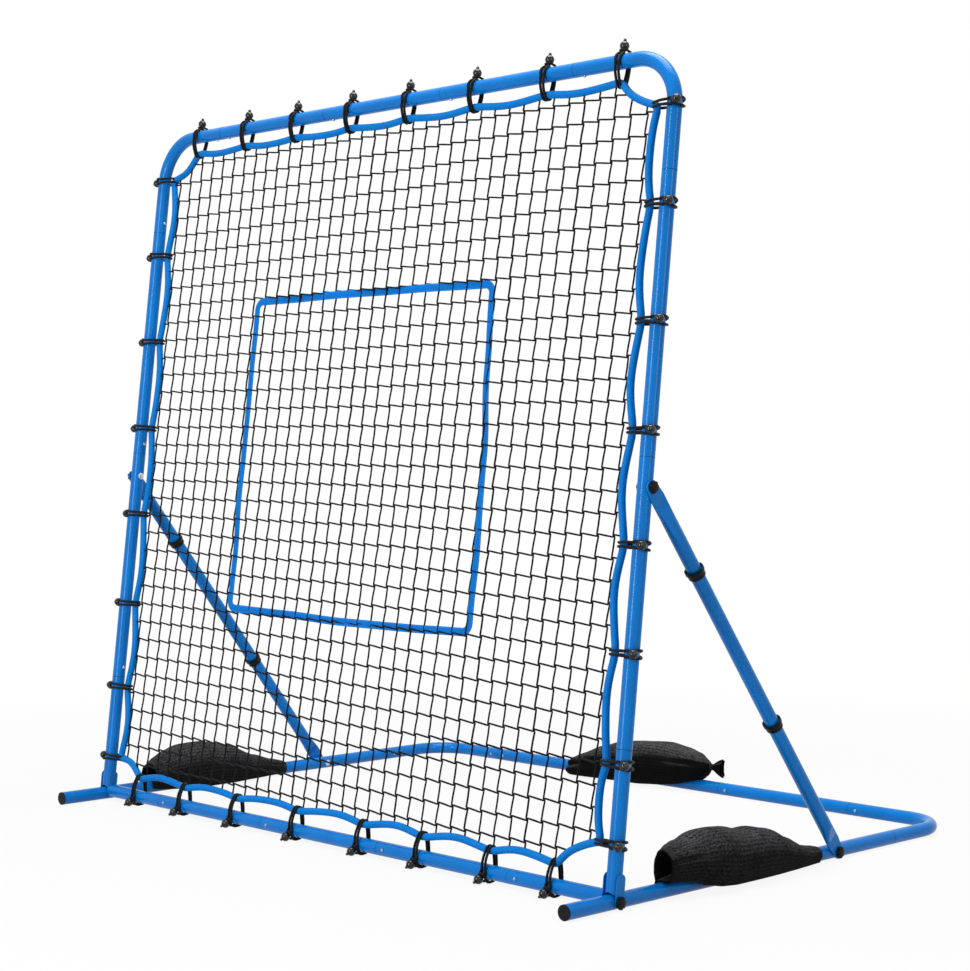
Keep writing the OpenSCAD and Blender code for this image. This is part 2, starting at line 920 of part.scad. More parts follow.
// Padded rope along the border's path, as one closed ring of eight-sided sections
rope_sides = 8;
function ring(i) =
    let (
        n = len(border_path),
        a = border_path[(i + n - 1) % n],
        b = border_path[(i + 1) % n],
        d = (b - a) / norm(b - a),
        out = [d[1], -d[0]],
        p = border_path[i]
    )
    [for (k = [0 : rope_sides - 1])
        let (t = 360 * k / rope_sides)
        [p[0] + out[0] * border_r * cos(t), border_r * sin(t), p[1] + out[1] * border_r * cos(t)]];

module net_border() {
    color("#0d6fd8")
        on_frame()
            loop_tube([for (i = [0 : len(border_path) - 1]) ring(i)]);
}

// Closed tube through a loop of rings that have the same number of points
module loop_tube(rings) {
    n = len(rings);
    m = len(rings[0]);
    faces = [
        for (i = [0 : n - 1], k = [0 : m - 1])
            let (
                i2 = (i + 1) % n,
                k2 = (k + 1) % m
            )
            each [
                [i * m + k, i * m + k2, i2 * m + k2],
                [i * m + k, i2 * m + k2, i2 * m + k]
            ]
    ];
    polyhedron(points = [for (r = rings) each r], faces = faces);
}

// Flat band sewn to the front of the net
module strike_zone() {
    color("#0a62cc")
        on_frame()
            translate([zone_x, -net_t / 2, zone_s])
                rotate([90, 0, 0])
                    linear_extrude(height = band_t)
                        difference() {
                            rounded(zone_w + band_w, zone_h + band_w, zone_r, -band_w / 2);
                            rounded(zone_w - band_w, zone_h - band_w, zone_r - band_w, band_w / 2);
                        }
}

// Rounded rectangle centred in x with its lower edge at s
module rounded(w, h, r, s) {
    x = w / 2 - r;
    union() {
        translate([-w / 2, s + r])
            square([w, h - 2 * r]);
        translate([-x, s])
            square([2 * x, h]);
        for (sx = [-1, 1], sz = [r, h - r])
            translate([sx * x, s + sz])
                circle(r = r);
    }
}

// --- Ties ---

// Route of an elastic cord round a tube at the origin and round the border rope up +Z:
// the corners of a polygon that stays outside both, in y and z
function cord_route(reach) =
    let (
        ra = tube_r + tie_play + cord_r,
        rb = border_r + tie_play + cord_r,
        swing = asin((ra - rb) / reach),
        step_a = (180 + 2 * swing) / arc_a,
        step_b = (180 - 2 * swing) / arc_b
    )
    concat(
        [for (i = [0 : arc_a]) arc_corner(ra, 180 - swing + i * step_a, i, arc_a, step_a, 0)],
        [for (i = [0 : arc_b]) arc_corner(rb, swing + i * step_b, i, arc_b, step_b, reach)]
    );
// Point i of an arc of n steps: its end points lie on the circle, the others just outside
function arc_corner(r, angle, i, n, step, up) =
    let (far = i == 0 || i == n ? r : r / cos(step / 2))
    [far * cos(angle), up + far * sin(angle)];
arc_a = 5;
arc_b = 3;

// Closed loop of cord along a route in the YZ plane, as five-sided sections
cord_sides = 5;
function cord_ring(route, i) =
    let (
        n = len(route),
        d0 = route[i] - route[(i + n - 1) % n],
        d1 = route[(i + 1) % n] - route[i],
        t = d0 / norm(d0) + d1 / norm(d1),
        d = t / norm(t),
        out = [d[1], -d[0]]
    )
    [for (k = [0 : cord_sides - 1])
        let (a = 360 * k / cord_sides)
        [cord_r * sin(a), route[i][0] + out[0] * cord_r * cos(a), route[i][1] + out[1] * cord_r * cos(a)]];

// A tie's two strands side by side
module tie_cord() {
    for (side = [-1, 1])
        translate([side * (cord_r + cord_gap / 2), 0, 0])
            loop_tube([for (i = [0 : arc_a + arc_b + 1]) cord_ring(cord_route(tie_reach), i)]);
}

// The ball bears on the belt round the tube's far side; turn moves it towards the front
module tie_ball(turn) {
    rotate([-turn, 0, 0])
        translate([0, 0, -ball_lever(turn)])
            difference() {
                sphere(r = ball_r);
                cylinder(h = 3 * ball_r, d = cord_d, center = true, $fn = fn_small);
            }
}

// Distance of a ball from the tube's middle, from the belt's flats and corners
belt_r = tube_r + tie_play + cord_r;
belt_step = (180 + 2 * asin((tube_r - border_r) / tie_reach)) / arc_a;
function ball_lever(turn) =
    let (off = (turn + belt_step / 2) % belt_step - belt_step / 2)
    belt_r / cos(off) + cord_r + tie_play + ball_r;
// The lowest balls lie beside the crossbar, just clear of the ground
ball_drop = 90 - lean - asin((axis_z + cross_rise - ball_r - ball_ground) / ball_lever(belt_step / 2));

// Puts children at tie i of a side: 0 bottom, 1 right, 2 top, 3 left
module at_tie(edge, i) {
    if (edge == 0)
        translate([tie_x(shift_bottom, i), 0, cross_rise])
            children();
    if (edge == 1)
        translate([half_w, 0, tie_s(shift_right, i)])
            rotate([0, -90, 0])
                children();
    if (edge == 2)
        translate([tie_x(shift_top, i), 0, frame_h])
            rotate([0, 180, 0])
                children();
    if (edge == 3)
        translate([-half_w, 0, tie_s(shift_left, i)])
            rotate([0, 90, 0])
                children();
}

module tie_cords(edge) {
    color("#131313")
        on_frame()
            for (i = [0 : ties - 1])
                at_tie(edge, i)
                    tie_cord();
}

module tie_balls() {
    color("#101010")
        on_frame()
            for (edge = [0 : 3], i = [0 : ties - 1])
                at_tie(edge, i)
                    tie_ball(edge == 0 ? ball_drop : edge == 1 ? ball_turn : 0);
}

// --- Sandbags ---

groove_play = 1;

// Ellipsoid of the bag's filling: middle, half sizes
module lump(at, half) {
    translate(at)
        scale([half[0] / 10, half[1] / 10, half[2] / 10])
            sphere(r = 10, $fn = bag_fn);
}

// Bag along +Y over a tube whose axis runs along Y at z = 0; the ground is at -tube_r
module bag(l) {
    w = bag_w / 2;
    h = bag_h - tube_r;
    difference() {
        intersection() {
            hull() {
                lump([0, l * 0.07, h * 0.4], [w * 0.56, l * 0.07, h * 0.4]);
                lump([0, l * 0.36, h * 0.2], [w, l * 0.28, h * 0.8]);
                lump([0, l * 0.93, h * 0.14], [w * 0.36, l * 0.07, h * 0.26]);
            }
            translate([-bag_w, -over, -tube_r])
                cube([2 * bag_w, l + 2 * over, bag_h + over]);
        }
        bag_channel(l);
    }
}

// Slot over the tube, open downward so that the bag lifts straight off
module bag_channel(l) {
    r = tube_r + bag_gap;
    translate([0, -over, 0])
        rotate([-90, 0, 0])
            cylinder(h = l + 2 * over, r = r);
    translate([-r, -over, -tube_r - over])
        cube([2 * r, l + 2 * over, tube_r + over]);
}

module sandbag(side) {
    l = side > 0 ? bag_len : bag_len_short;
    back = side > 0 ? bag_back_right : bag_back_left;
    color("#1a1a1a")
        translate([side * half_w, axis_y + brace_foot - back - l, axis_z])
            bag(l);
}

module sandbag_rear() {
    color("#1a1a1a")
        translate([bag_rear_x + bag_len_short / 2, rear_y, axis_z])
            rotate([0, 0, 90]) {
                difference() {
                    bag(bag_len_short);
                    button_groove(bag_rear_x + bag_len_short / 2 - (top_seams[1] + button_off));
                }
                bag_tie();
            }
}

// Groove up the front wall of a bag's slot, clear of a snap button at y from the bag's end
module button_groove(y) {
    r = button_d / 2 + groove_play;
    translate([-tube_r - button_out - groove_play, y - r, -tube_r - over])
        cube([tube_r, 2 * r, tube_r + r + over]);
}

// Tied neck and flared tail at the fuller end of the rear bag
module bag_tie() {
    z = (bag_h - tube_r) * 0.4;
    hull() {
        lump([0, -4, z], [10, 14, 10]);
        lump([0, 14, z], [14, 10, 14]);
    }
    hull() {
        lump([0, -8, z], [9, 8, 9]);
        translate([-4, -bag_tail, z - 24])
            cube([8, 4, 48]);
    }
}

base_side(-1);  // base_side_left
base_side(1);  // base_side_right
base_corner(-1);  // base_corner_left
base_corner(1);  // base_corner_right
rear_tube(0);  // rear_tube_left
rear_tube(1);  // rear_tube_middle
rear_tube(2);  // rear_tube_right
end_caps();
brace_foot_bolts();
foot_corner(-1);  // foot_corner_left
foot_corner(1);  // foot_corner_right
upright_tube(-1, 0);  // upright_lower_left
upright_tube(1, 0);  // upright_lower_right
upright_tube(-1, 1);  // upright_upper_left
upright_tube(1, 1);  // upright_upper_right
top_corner(-1);  // top_corner_left
top_corner(1);  // top_corner_right
top_tube(0);  // top_tube_left
top_tube(1);  // top_tube_middle
top_tube(2);  // top_tube_right
cross_tube(0);  // cross_tube_left
cross_tube(1);  // cross_tube_middle
cross_tube(2);  // cross_tube_right
tilt_bolts();
brace_top_bolts();
net();
net_border();
strike_zone();
tie_cords(2);  // tie_cords_top
tie_cords(0);  // tie_cords_bottom
tie_cords(3);  // tie_cords_left
tie_cords(1);  // tie_cords_right
tie_balls();
brace_upper(-1);  // brace_upper_left
brace_middle(-1);  // brace_middle_left
brace_lower(-1);  // brace_lower_left
brace_upper(1);  // brace_upper_right
brace_middle(1);  // brace_middle_right
brace_lower(1);  // brace_lower_right
upper_lock(-1);  // upper_lock_left
lower_lock(-1);  // lower_lock_left
upper_lock(1);  // upper_lock_right
lower_lock(1);  // lower_lock_right
tilt_knob(-1);  // tilt_knob_left
tilt_knob(1);  // tilt_knob_right
brace_top_knob(-1);  // brace_top_knob_left
brace_top_knob(1);  // brace_top_knob_right
brace_foot_knob(-1);  // brace_foot_knob_left
brace_foot_knob(1);  // brace_foot_knob_right
top_buttons();
upright_buttons(-1);  // upright_buttons_left
upright_buttons(1);  // upright_buttons_right
cross_buttons();
rear_buttons();
side_button(-1);  // side_button_left
side_button(1);  // side_button_right
sandbag(-1);  // sandbag_left
sandbag(1);  // sandbag_right
sandbag_rear();
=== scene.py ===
"""Looks of the pitch back rebounder: finishes for its tubes and fittings, and its soft pieces.

Every length is in metres unless its name ends in _mm. The net frame leans back, so the soft
pieces that hang in it are drawn in its own plane and then turned into place.
"""

import json
import logging
import math
from collections.abc import Iterable, Sequence
from dataclasses import astuple, dataclass, field
from enum import Enum

import bmesh
import bpy
from mathutils import Euler, Matrix, Vector, noise


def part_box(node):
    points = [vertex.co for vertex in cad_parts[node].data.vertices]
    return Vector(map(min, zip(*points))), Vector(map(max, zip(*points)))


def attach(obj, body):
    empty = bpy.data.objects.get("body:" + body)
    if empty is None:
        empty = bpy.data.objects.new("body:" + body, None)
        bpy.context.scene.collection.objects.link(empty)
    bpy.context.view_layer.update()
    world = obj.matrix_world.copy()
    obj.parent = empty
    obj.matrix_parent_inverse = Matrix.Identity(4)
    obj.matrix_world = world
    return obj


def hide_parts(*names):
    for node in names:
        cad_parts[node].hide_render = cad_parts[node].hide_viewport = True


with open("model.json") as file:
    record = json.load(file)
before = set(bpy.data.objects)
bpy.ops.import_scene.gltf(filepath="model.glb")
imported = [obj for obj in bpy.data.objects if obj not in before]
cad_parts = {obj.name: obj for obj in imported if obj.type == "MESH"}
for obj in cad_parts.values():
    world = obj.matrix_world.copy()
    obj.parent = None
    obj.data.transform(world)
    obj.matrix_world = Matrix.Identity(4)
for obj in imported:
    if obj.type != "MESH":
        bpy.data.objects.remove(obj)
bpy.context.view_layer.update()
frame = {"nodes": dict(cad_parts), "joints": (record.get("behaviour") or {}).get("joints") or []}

LOG = logging.getLogger("rebounder")
MM = 0.001
WHITE = (1.0, 1.0, 1.0, 1.0)
# Distance from ridge to ridge in a wave texture whose scale is 1.
WAVE_PITCH = 0.314


# --- The object's own sizes ---


@dataclass(frozen=True)
class FrameSizes:
    """Driving sizes of the tube frame, shared by every piece."""

    half_width: float = 0.960
    height: float = 1.870
    lean: float = math.radians(6.4)
    tube_radius: float = 0.0175
    crossbar_rise: float = 0.007
    border_reach: float = 0.047
    border_radius: float = 0.009

    @property
    def pivot(self) -> Vector:
        """Point in the middle of the tilt axis."""
        tilt = next(j for j in frame["joints"] if j["name"] == "frame_tilt")
        return Vector(tilt["pos_m"])

    def place(self) -> Matrix:
        """Matrix from the net frame's own axes (across, through, up) to the part's axes."""
        return Matrix.Translation(self.pivot) @ Matrix.Rotation(-self.lean, 4, "X")


SIZES = FrameSizes()


class Edge(Enum):
    """Side of the net frame that a tie hangs from."""

    BOTTOM = 0
    RIGHT = 1
    TOP = 2
    LEFT = 3


@dataclass(frozen=True)
class TieSpacing:
    """Where the hand-tied cords sit: even steps, each moved by its own small shift."""

    count: int = 8
    end_across: float = 0.160
    end_up: float = 0.115
    shifts_mm: dict[Edge, tuple[int, ...]] = field(
        default_factory=lambda: {
            Edge.TOP: (-2, -15, -30, -33, -40, -27, -11, -4),
            Edge.BOTTOM: (-8, -27, -25, -5, 21, 7, 8, -14),
            Edge.LEFT: (-13, -48, -45, -25, -14, 1, 14, -1),
            Edge.RIGHT: (7, -55, -48, -46, -27, -18, 10, 1),
        }
    )

    def at(self, edge: Edge, i: int) -> float:
        """Place of tie i along its edge.

        Args:
            edge: Side of the frame.
            i: Number of the tie, from the left or from below.

        Returns:
            Distance across from the middle, or up from the tilt axis.
        """
        shift = self.shifts_mm[edge][i] * MM
        if edge in (Edge.TOP, Edge.BOTTOM):
            step = (2 * SIZES.half_width - 2 * self.end_across) / (self.count - 1)
            return -SIZES.half_width + self.end_across + i * step + shift
        step = (SIZES.height - 2 * self.end_up) / (self.count - 1)
        return self.end_up + i * step + shift


TIES = TieSpacing()


# --- Small tools ---


def linear(code: str) -> tuple[float, float, float, float]:
    """Turns an sRGB hex code into linear light.

    Args:
        code: Colour such as "#1178DB".

    Returns:
        Red, green, blue and an alpha of 1.
    """
    parts = [int(code[i : i + 2], 16) / 255 for i in (1, 3, 5)]
    red, green, blue = (
        c / 12.92 if c <= 0.04045 else ((c + 0.055) / 1.055) ** 2.4 for c in parts
    )
    return red, green, blue, 1.0


def add_node(
    material: bpy.types.Material | bpy.types.World,
    kind: str,
    settings: dict[str, object] | None = None,
    inputs: dict[str | int, object] | None = None,
) -> bpy.types.Node:
    """Adds one shader node with its settings and its links.

    Args:
        material: Material or world that the node goes into.
        kind: Node type, such as "ShaderNodeTexNoise".
        settings: Values of the node's own properties.
        inputs: Per input socket, a plain value or the output socket to link from.

    Returns:
        The new node.
    """
    node = material.node_tree.nodes.new(kind)
    for name, value in (settings or {}).items():
        setattr(node, name, value)
    for name, value in (inputs or {}).items():
        if isinstance(value, bpy.types.NodeSocket):
            material.node_tree.links.new(value, node.inputs[name])
        else:
            node.inputs[name].default_value = value
    return node


def new_material(name: str) -> tuple[bpy.types.Material, bpy.types.Node]:
    """Makes a node material.

    Args:
        name: The finish's name.

    Returns:
        The material and its Principled shader.
    """
    material = bpy.data.materials.new(name)
    material.use_nodes = True
    return material, material.node_tree.nodes["Principled BSDF"]


def link(
    material: bpy.types.Material | bpy.types.World,
    out: bpy.types.NodeSocket,
    socket: bpy.types.NodeSocket,
) -> None:
    """Links two sockets of one material or world."""
    material.node_tree.links.new(out, socket)


def dress(obj: bpy.types.Object, material: bpy.types.Material) -> None:
    """Gives an object one material in all its slots.

    Args:
        obj: The piece.
        material: Its finish.
    """
    if not obj.material_slots:
        obj.data.materials.append(material)
    for slot in obj.material_slots:
        slot.material = material


def rounded(obj: bpy.types.Object) -> None:
    """Rounds an object by one step of subdivision."""
    smooth = obj.modifiers.new("round", "SUBSURF")
    smooth.levels = smooth.render_levels = 1


def place_object(name: str, data: bpy.types.ID) -> bpy.types.Object:
    """Puts data into the scene as an object at the origin.

    Args:
        name: The object's name.
        data: A mesh, a curve, a lamp or a camera.

    Returns:
        The object.
    """
    obj = bpy.data.objects.new(name, data)
    bpy.context.scene.collection.objects.link(obj)
    return obj


def to_object(name: str, mesh: bmesh.types.BMesh) -> bpy.types.Object:
    """Turns a bmesh into a smooth object at the origin with outward faces.

    Args:
        name: The piece's name.
        mesh: The finished bmesh, which is freed.

    Returns:
        The object, linked into the scene.
    """
    bmesh.ops.recalc_face_normals(mesh, faces=mesh.faces)
    for face in mesh.faces:
        face.smooth = True
    data = bpy.data.meshes.new(name)
    mesh.to_mesh(data)
    mesh.free()
    return place_object(name, data)


def cord_mesh(
    name: str,
    routes: Iterable[Sequence[Vector]],
    radius: float,
    sides: int,
    closed: bool,
) -> bpy.types.Object:
    """Makes round cord along routes, as a bevelled curve turned into a mesh.

    Args:
        name: The piece's name.
        routes: Points of each cord's centre line.
        radius: Radius of the cord.
        sides: Number of sides of its section, an even number from 4.
        closed: Whether each route is a loop.

    Returns:
        The mesh object.
    """
    curve = bpy.data.curves.new(name, "CURVE")
    curve.dimensions = "3D"
    curve.bevel_depth = radius
    curve.bevel_resolution = sides // 2 - 2
    curve.use_fill_caps = not closed
    for route in routes:
        spline = curve.splines.new("POLY")
        spline.points.add(len(route) - 1)
        for point, place in zip(spline.points, route):
            point.co = (*place, 1.0)
        spline.use_cyclic_u = closed
        spline.use_smooth = True
    holder = place_object(name + "_line", curve)
    graph = bpy.context.evaluated_depsgraph_get()
    data = bpy.data.meshes.new_from_object(holder.evaluated_get(graph))
    bpy.data.objects.remove(holder)
    bpy.data.curves.remove(curve)
    data.name = name
    return place_object(name, data)


def next_ring(
    mesh: bmesh.types.BMesh,
    ring: Sequence[bmesh.types.BMVert],
    edges: Sequence[bmesh.types.BMEdge],
) -> tuple[list[bmesh.types.BMVert], list[bmesh.types.BMEdge]]:
    """Extrudes a closed ring once, with its vertices kept in order and in place.

    Args:
        mesh: The bmesh that holds the ring.
        ring: Its vertices in order.
        edges: Its edges.

    Returns:
        The new ring's vertices in the same order, and its edges.
    """
    made = bmesh.ops.extrude_edge_only(mesh, edges=list(edges))["geom"]
    fresh = {g for g in made if isinstance(g, bmesh.types.BMVert)}
    rim = [
        g for g in made if isinstance(g, bmesh.types.BMEdge) and all(x in fresh for x in g.verts)
    ]
    step = {}
    for vert in fresh:
        for edge in vert.link_edges:
            if edge.other_vert(vert) not in fresh:
                step[edge.other_vert(vert)] = vert
    return [step[old] for old in ring], rim


def loft(
    sections: Sequence[Sequence[Vector]],
) -> tuple[bmesh.types.BMesh, list[list[bmesh.types.BMVert]]]:
    """Draws a closed section along a form, row by row, with a UV layer named flat.

    Args:
        sections: Per row, the section's points in order.

    Returns:
        The bmesh, open at both ends, and its ring of vertices at each row.
    """
    mesh = bmesh.new()
    mesh.loops.layers.uv.new("flat")
    bmesh.ops.create_circle(mesh, cap_ends=False, segments=len(sections[0]), radius=1.0)
    mesh.verts.ensure_lookup_table()
    ring, edges = list(mesh.verts), list(mesh.edges)
    rings = []
    for section in sections:
        if rings:
            ring, edges = next_ring(mesh, ring, edges)
        for vert, spot in zip(ring, section):
            vert.co = spot
        rings.append(ring)
    return mesh, rings


def in_frame(points: Iterable[tuple[float, float, float]]) -> list[Vector]:
    """Turns points from the net frame's axes (across, through, up) into the part's axes."""
    place = SIZES.place()
    return [place @ Vector(p) for p in points]


def ease(u: float) -> float:
    """Eases a share from 0 to 1 in and out."""
    return u * u * (3 - 2 * u)


# --- Finishes ---


@dataclass(frozen=True)
class PowderCoat:
    """Polyester powder coat on steel tube: sprayed dry and baked, so glossy with a faint peel."""

    colour: str = "#0070C0"
    shade: str = "#0069B5"
    cloud_mm: float = 90.0
    peel_mm: float = 3.0

    def material(self) -> bpy.types.Material:
        """Builds the finish: saturated paint whose peel softens its highlights."""
        material, shader = new_material("powder_coat_blue")
        where = add_node(material, "ShaderNodeTexCoord").outputs["Object"]
        cloud = add_node(
            material,
            "ShaderNodeTexNoise",
            inputs={"Vector": where, "Scale": 1 / (self.cloud_mm * MM), "Detail": 3.0},
        )
        tone = add_node(material, "ShaderNodeValToRGB", inputs={0: cloud.outputs["Fac"]})
        for stop, place, code in zip(
            tone.color_ramp.elements, (0.3, 0.7), (self.shade, self.colour)
        ):
            stop.position = place
            stop.color = linear(code)
        link(material, tone.outputs["Color"], shader.inputs["Base Color"])
        peel = add_node(
            material,
            "ShaderNodeTexNoise",
            inputs={"Vector": where, "Scale": 1 / (self.peel_mm * MM), "Detail": 2.0},
        )
        gloss = add_node(
            material,
            "ShaderNodeMapRange",
            inputs={0: cloud.outputs["Fac"], 3: 0.17, 4: 0.25},
        )
        link(material, gloss.outputs[0], shader.inputs["Roughness"])
        bump = add_node(
            material,
            "ShaderNodeBump",
            inputs={"Strength": 0.05, "Distance": 0.1 * MM, "Height": peel.outputs["Fac"]},
        )
        link(material, bump.outputs["Normal"], shader.inputs["Normal"])
        shader.inputs["Specular IOR Level"].default_value = 0.16
        return material


@dataclass(frozen=True)
class MouldedPlastic:
    """Black polypropylene or nylon from a mould: satin, with the mould's fine spark texture."""

    name: str = "moulded_black"
    colour: str = "#0C0C0E"
    fleck: str = "#161618"
    roughness: float = 0.42
    grain_mm: float = 0.8
    shine: float = 0.10

    def material(self) -> bpy.types.Material:
        """Builds the finish: near-black body with a fine grain and a soft sheen."""
        material, shader = new_material(self.name)
        where = add_node(material, "ShaderNodeTexCoord").outputs["Object"]
        grain = add_node(
            material,
            "ShaderNodeTexNoise",
            inputs={"Vector": where, "Scale": 1 / (self.grain_mm * MM), "Detail": 3.0},
        )
        tone = add_node(
            material,
            "ShaderNodeMix",
            {"data_type": "RGBA"},
            {0: grain.outputs["Fac"], 6: linear(self.colour), 7: linear(self.fleck)},
        )
        link(material, tone.outputs[2], shader.inputs["Base Color"])
        rough = add_node(
            material,
            "ShaderNodeMapRange",
            inputs={
                0: grain.outputs["Fac"],
                3: self.roughness - 0.06,
                4: self.roughness + 0.08,
            },
        )
        link(material, rough.outputs[0], shader.inputs["Roughness"])
        bump = add_node(
            material,
            "ShaderNodeBump",
            inputs={"Strength": 0.2, "Distance": 0.1 * MM, "Height": grain.outputs["Fac"]},
        )
        link(material, bump.outputs["Normal"], shader.inputs["Normal"])
        shader.inputs["Specular IOR Level"].default_value = self.shine
        return material


@dataclass(frozen=True)
class BrightSteel:
    """Zinc-plated or spring steel: rolled, plated and tumbled, so bright with fine scuffs."""

    name: str
    colour: str = "#C3C6C9"
    scuff_mm: float = 1.5

    def material(self) -> bpy.types.Material:
        """Builds the finish: metal whose roughness varies with its scuffs."""
        material, shader = new_material(self.name)
        where = add_node(material, "ShaderNodeTexCoord").outputs["Object"]
        stretch = add_node(
            material,
            "ShaderNodeMapping",
            inputs={"Vector": where, "Scale": (1.0, 1.0, 5.0)},
        )
        scuffs = add_node(
            material,
            "ShaderNodeTexNoise",
            inputs={
                "Vector": stretch.outputs[0],
                "Scale": 1 / (self.scuff_mm * MM),
                "Detail": 4.0,
            },
        )
        shader.inputs["Base Color"].default_value = linear(self.colour)
        shader.inputs["Metallic"].default_value = 1.0
        rough = add_node(
            material,
            "ShaderNodeMapRange",
            inputs={0: scuffs.outputs["Fac"], 3: 0.2, 4: 0.42},
        )
        link(material, rough.outputs[0], shader.inputs["Roughness"])
        return material


@dataclass(frozen=True)
class BraidedCord:
    """Braided cord: crossing yarns round a core, drawn coarse enough to show as a fine rib."""

    name: str
    colour: str
    fleck: str
    braid_mm: float
    roughness: float = 0.7
    sheen: float = 0.03
    shine: float = 0.08

    def material(self) -> bpy.types.Material:
        """Builds the finish: two crossing sets of ridges over a matt yarn."""
        material, shader = new_material(self.name)
        where = add_node(material, "ShaderNodeTexCoord").outputs["Object"]
        ridges = []
        for turn in (math.radians(45), math.radians(-45)):
            turned = add_node(
                material,
                "ShaderNodeMapping",
                inputs={"Vector": where, "Rotation": (turn, turn, 0.0)},
            )
            ridges.append(
                add_node(
                    material,
                    "ShaderNodeTexWave",
                    inputs={
                        "Vector": turned.outputs[0],
                        "Scale": WAVE_PITCH / (self.braid_mm * MM),
                        "Distortion": 0.6,
                    },
                )
            )
        weave = add_node(
            material,
            "ShaderNodeMath",
            {"operation": "MAXIMUM"},
            {0: ridges[0].outputs["Fac"], 1: ridges[1].outputs["Fac"]},
        )
        tone = add_node(
            material,
            "ShaderNodeMix",
            {"data_type": "RGBA"},
            {0: weave.outputs[0], 6: linear(self.colour), 7: linear(self.fleck)},
        )
        link(material, tone.outputs[2], shader.inputs["Base Color"])
        bump = add_node(
            material,
            "ShaderNodeBump",
            inputs={"Strength": 0.6, "Distance": 0.4 * MM, "Height": weave.outputs[0]},
        )
        link(material, bump.outputs["Normal"], shader.inputs["Normal"])
        shader.inputs["Roughness"].default_value = self.roughness
        shader.inputs["Specular IOR Level"].default_value = self.shine
        shader.inputs["Sheen Weight"].default_value = self.sheen
        shader.inputs["Sheen Roughness"].default_value = 0.5
        return material


@dataclass(frozen=True)
class Webbing:
    """Woven polyester webbing: flat ribs across the band and a sewn line near each edge.

    Real ribs are about 1 mm apart. They are drawn coarser, so that they show.
    """

    colour: str = "#0072C4"
    shade: str = "#0060B4"
    thread: str = "#2F83D2"
    rib_mm: float = 2.4
    seam_mm: float = 7.5
    seam_half_mm: float = 0.6
    stitch_mm: float = 3.0
    stitch_gap_mm: float = 0.8

    def material(self) -> bpy.types.Material:
        """Builds the finish from the band's UV map, u along it and v across it, in metres."""
        material, shader = new_material("webbing_blue")
        flat = add_node(material, "ShaderNodeTexCoord").outputs["UV"]
        ribs = add_node(
            material,
            "ShaderNodeTexWave",
            inputs={"Vector": flat, "Scale": WAVE_PITCH / (self.rib_mm * MM), "Distortion": 0.3},
        )
        part = add_node(material, "ShaderNodeSeparateXYZ", inputs={0: flat})
        off_middle = add_node(
            material, "ShaderNodeMath", {"operation": "ABSOLUTE"}, {0: part.outputs["Y"]}
        )
        seam = add_node(
            material,
            "ShaderNodeMath",
            {"operation": "COMPARE"},
            {0: off_middle.outputs[0], 1: self.seam_mm * MM, 2: self.seam_half_mm * MM},
        )
        stitch = add_node(
            material,
            "ShaderNodeMath",
            {"operation": "PINGPONG"},
            {0: part.outputs["X"], 1: self.stitch_mm * MM},
        )
        gap = add_node(
            material,
            "ShaderNodeMath",
            {"operation": "GREATER_THAN"},
            {0: stitch.outputs[0], 1: self.stitch_gap_mm * MM},
        )
        thread = add_node(
            material,
            "ShaderNodeMath",
            {"operation": "MULTIPLY"},
            {0: seam.outputs[0], 1: gap.outputs[0]},
        )
        body = add_node(
            material,
            "ShaderNodeMix",
            {"data_type": "RGBA"},
            {0: ribs.outputs["Fac"], 6: linear(self.shade), 7: linear(self.colour)},
        )
        tone = add_node(
            material,
            "ShaderNodeMix",
            {"data_type": "RGBA"},
            {0: thread.outputs[0], 6: body.outputs[2], 7: linear(self.thread)},
        )
        link(material, tone.outputs[2], shader.inputs["Base Color"])
        bump = add_node(
            material,
            "ShaderNodeBump",
            inputs={"Strength": 0.5, "Distance": 0.3 * MM, "Height": ribs.outputs["Fac"]},
        )
        link(material, bump.outputs["Normal"], shader.inputs["Normal"])
        shader.inputs["Roughness"].default_value = 0.62
        shader.inputs["Specular IOR Level"].default_value = 0.08
        shader.inputs["Sheen Weight"].default_value = 0.02
        return material


@dataclass(frozen=True)
class SleeveCloth:
    """Polyester tube cloth pulled over rope: a tight weave with small puckers along it.

    Real threads are about 0.3 mm apart. They are drawn coarser, so that they show.
    """

    colour: str = "#0078CC"
    shade: str = "#0068B4"
    pucker_mm: float = 34.0
    thread_mm: float = 1.6

    def material(self) -> bpy.types.Material:
        """Builds the finish: fine weave, soft puckers and a light sheen."""
        material, shader = new_material("sleeve_cloth_blue")
        where = add_node(material, "ShaderNodeTexCoord").outputs["Object"]
        pucker = add_node(
            material,
            "ShaderNodeTexNoise",
            inputs={"Vector": where, "Scale": 1 / (self.pucker_mm * MM), "Detail": 4.0},
        )
        weave = add_node(
            material,
            "ShaderNodeTexVoronoi",
            inputs={"Vector": where, "Scale": 1 / (self.thread_mm * MM)},
        )
        tone = add_node(
            material,
            "ShaderNodeMix",
            {"data_type": "RGBA"},
            {0: pucker.outputs["Fac"], 6: linear(self.shade), 7: linear(self.colour)},
        )
        link(material, tone.outputs[2], shader.inputs["Base Color"])
        soft = add_node(
            material,
            "ShaderNodeBump",
            inputs={"Strength": 0.5, "Distance": 1.2 * MM, "Height": pucker.outputs["Fac"]},
        )
        fine = add_node(
            material,
            "ShaderNodeBump",
            inputs={
                "Strength": 0.3,
                "Distance": 0.15 * MM,
                "Height": weave.outputs["Distance"],
                "Normal": soft.outputs["Normal"],
            },
        )
        link(material, fine.outputs["Normal"], shader.inputs["Normal"])
        shader.inputs["Roughness"].default_value = 0.5
        shader.inputs["Specular IOR Level"].default_value = 0.08
        shader.inputs["Sheen Weight"].default_value = 0.02
        return material


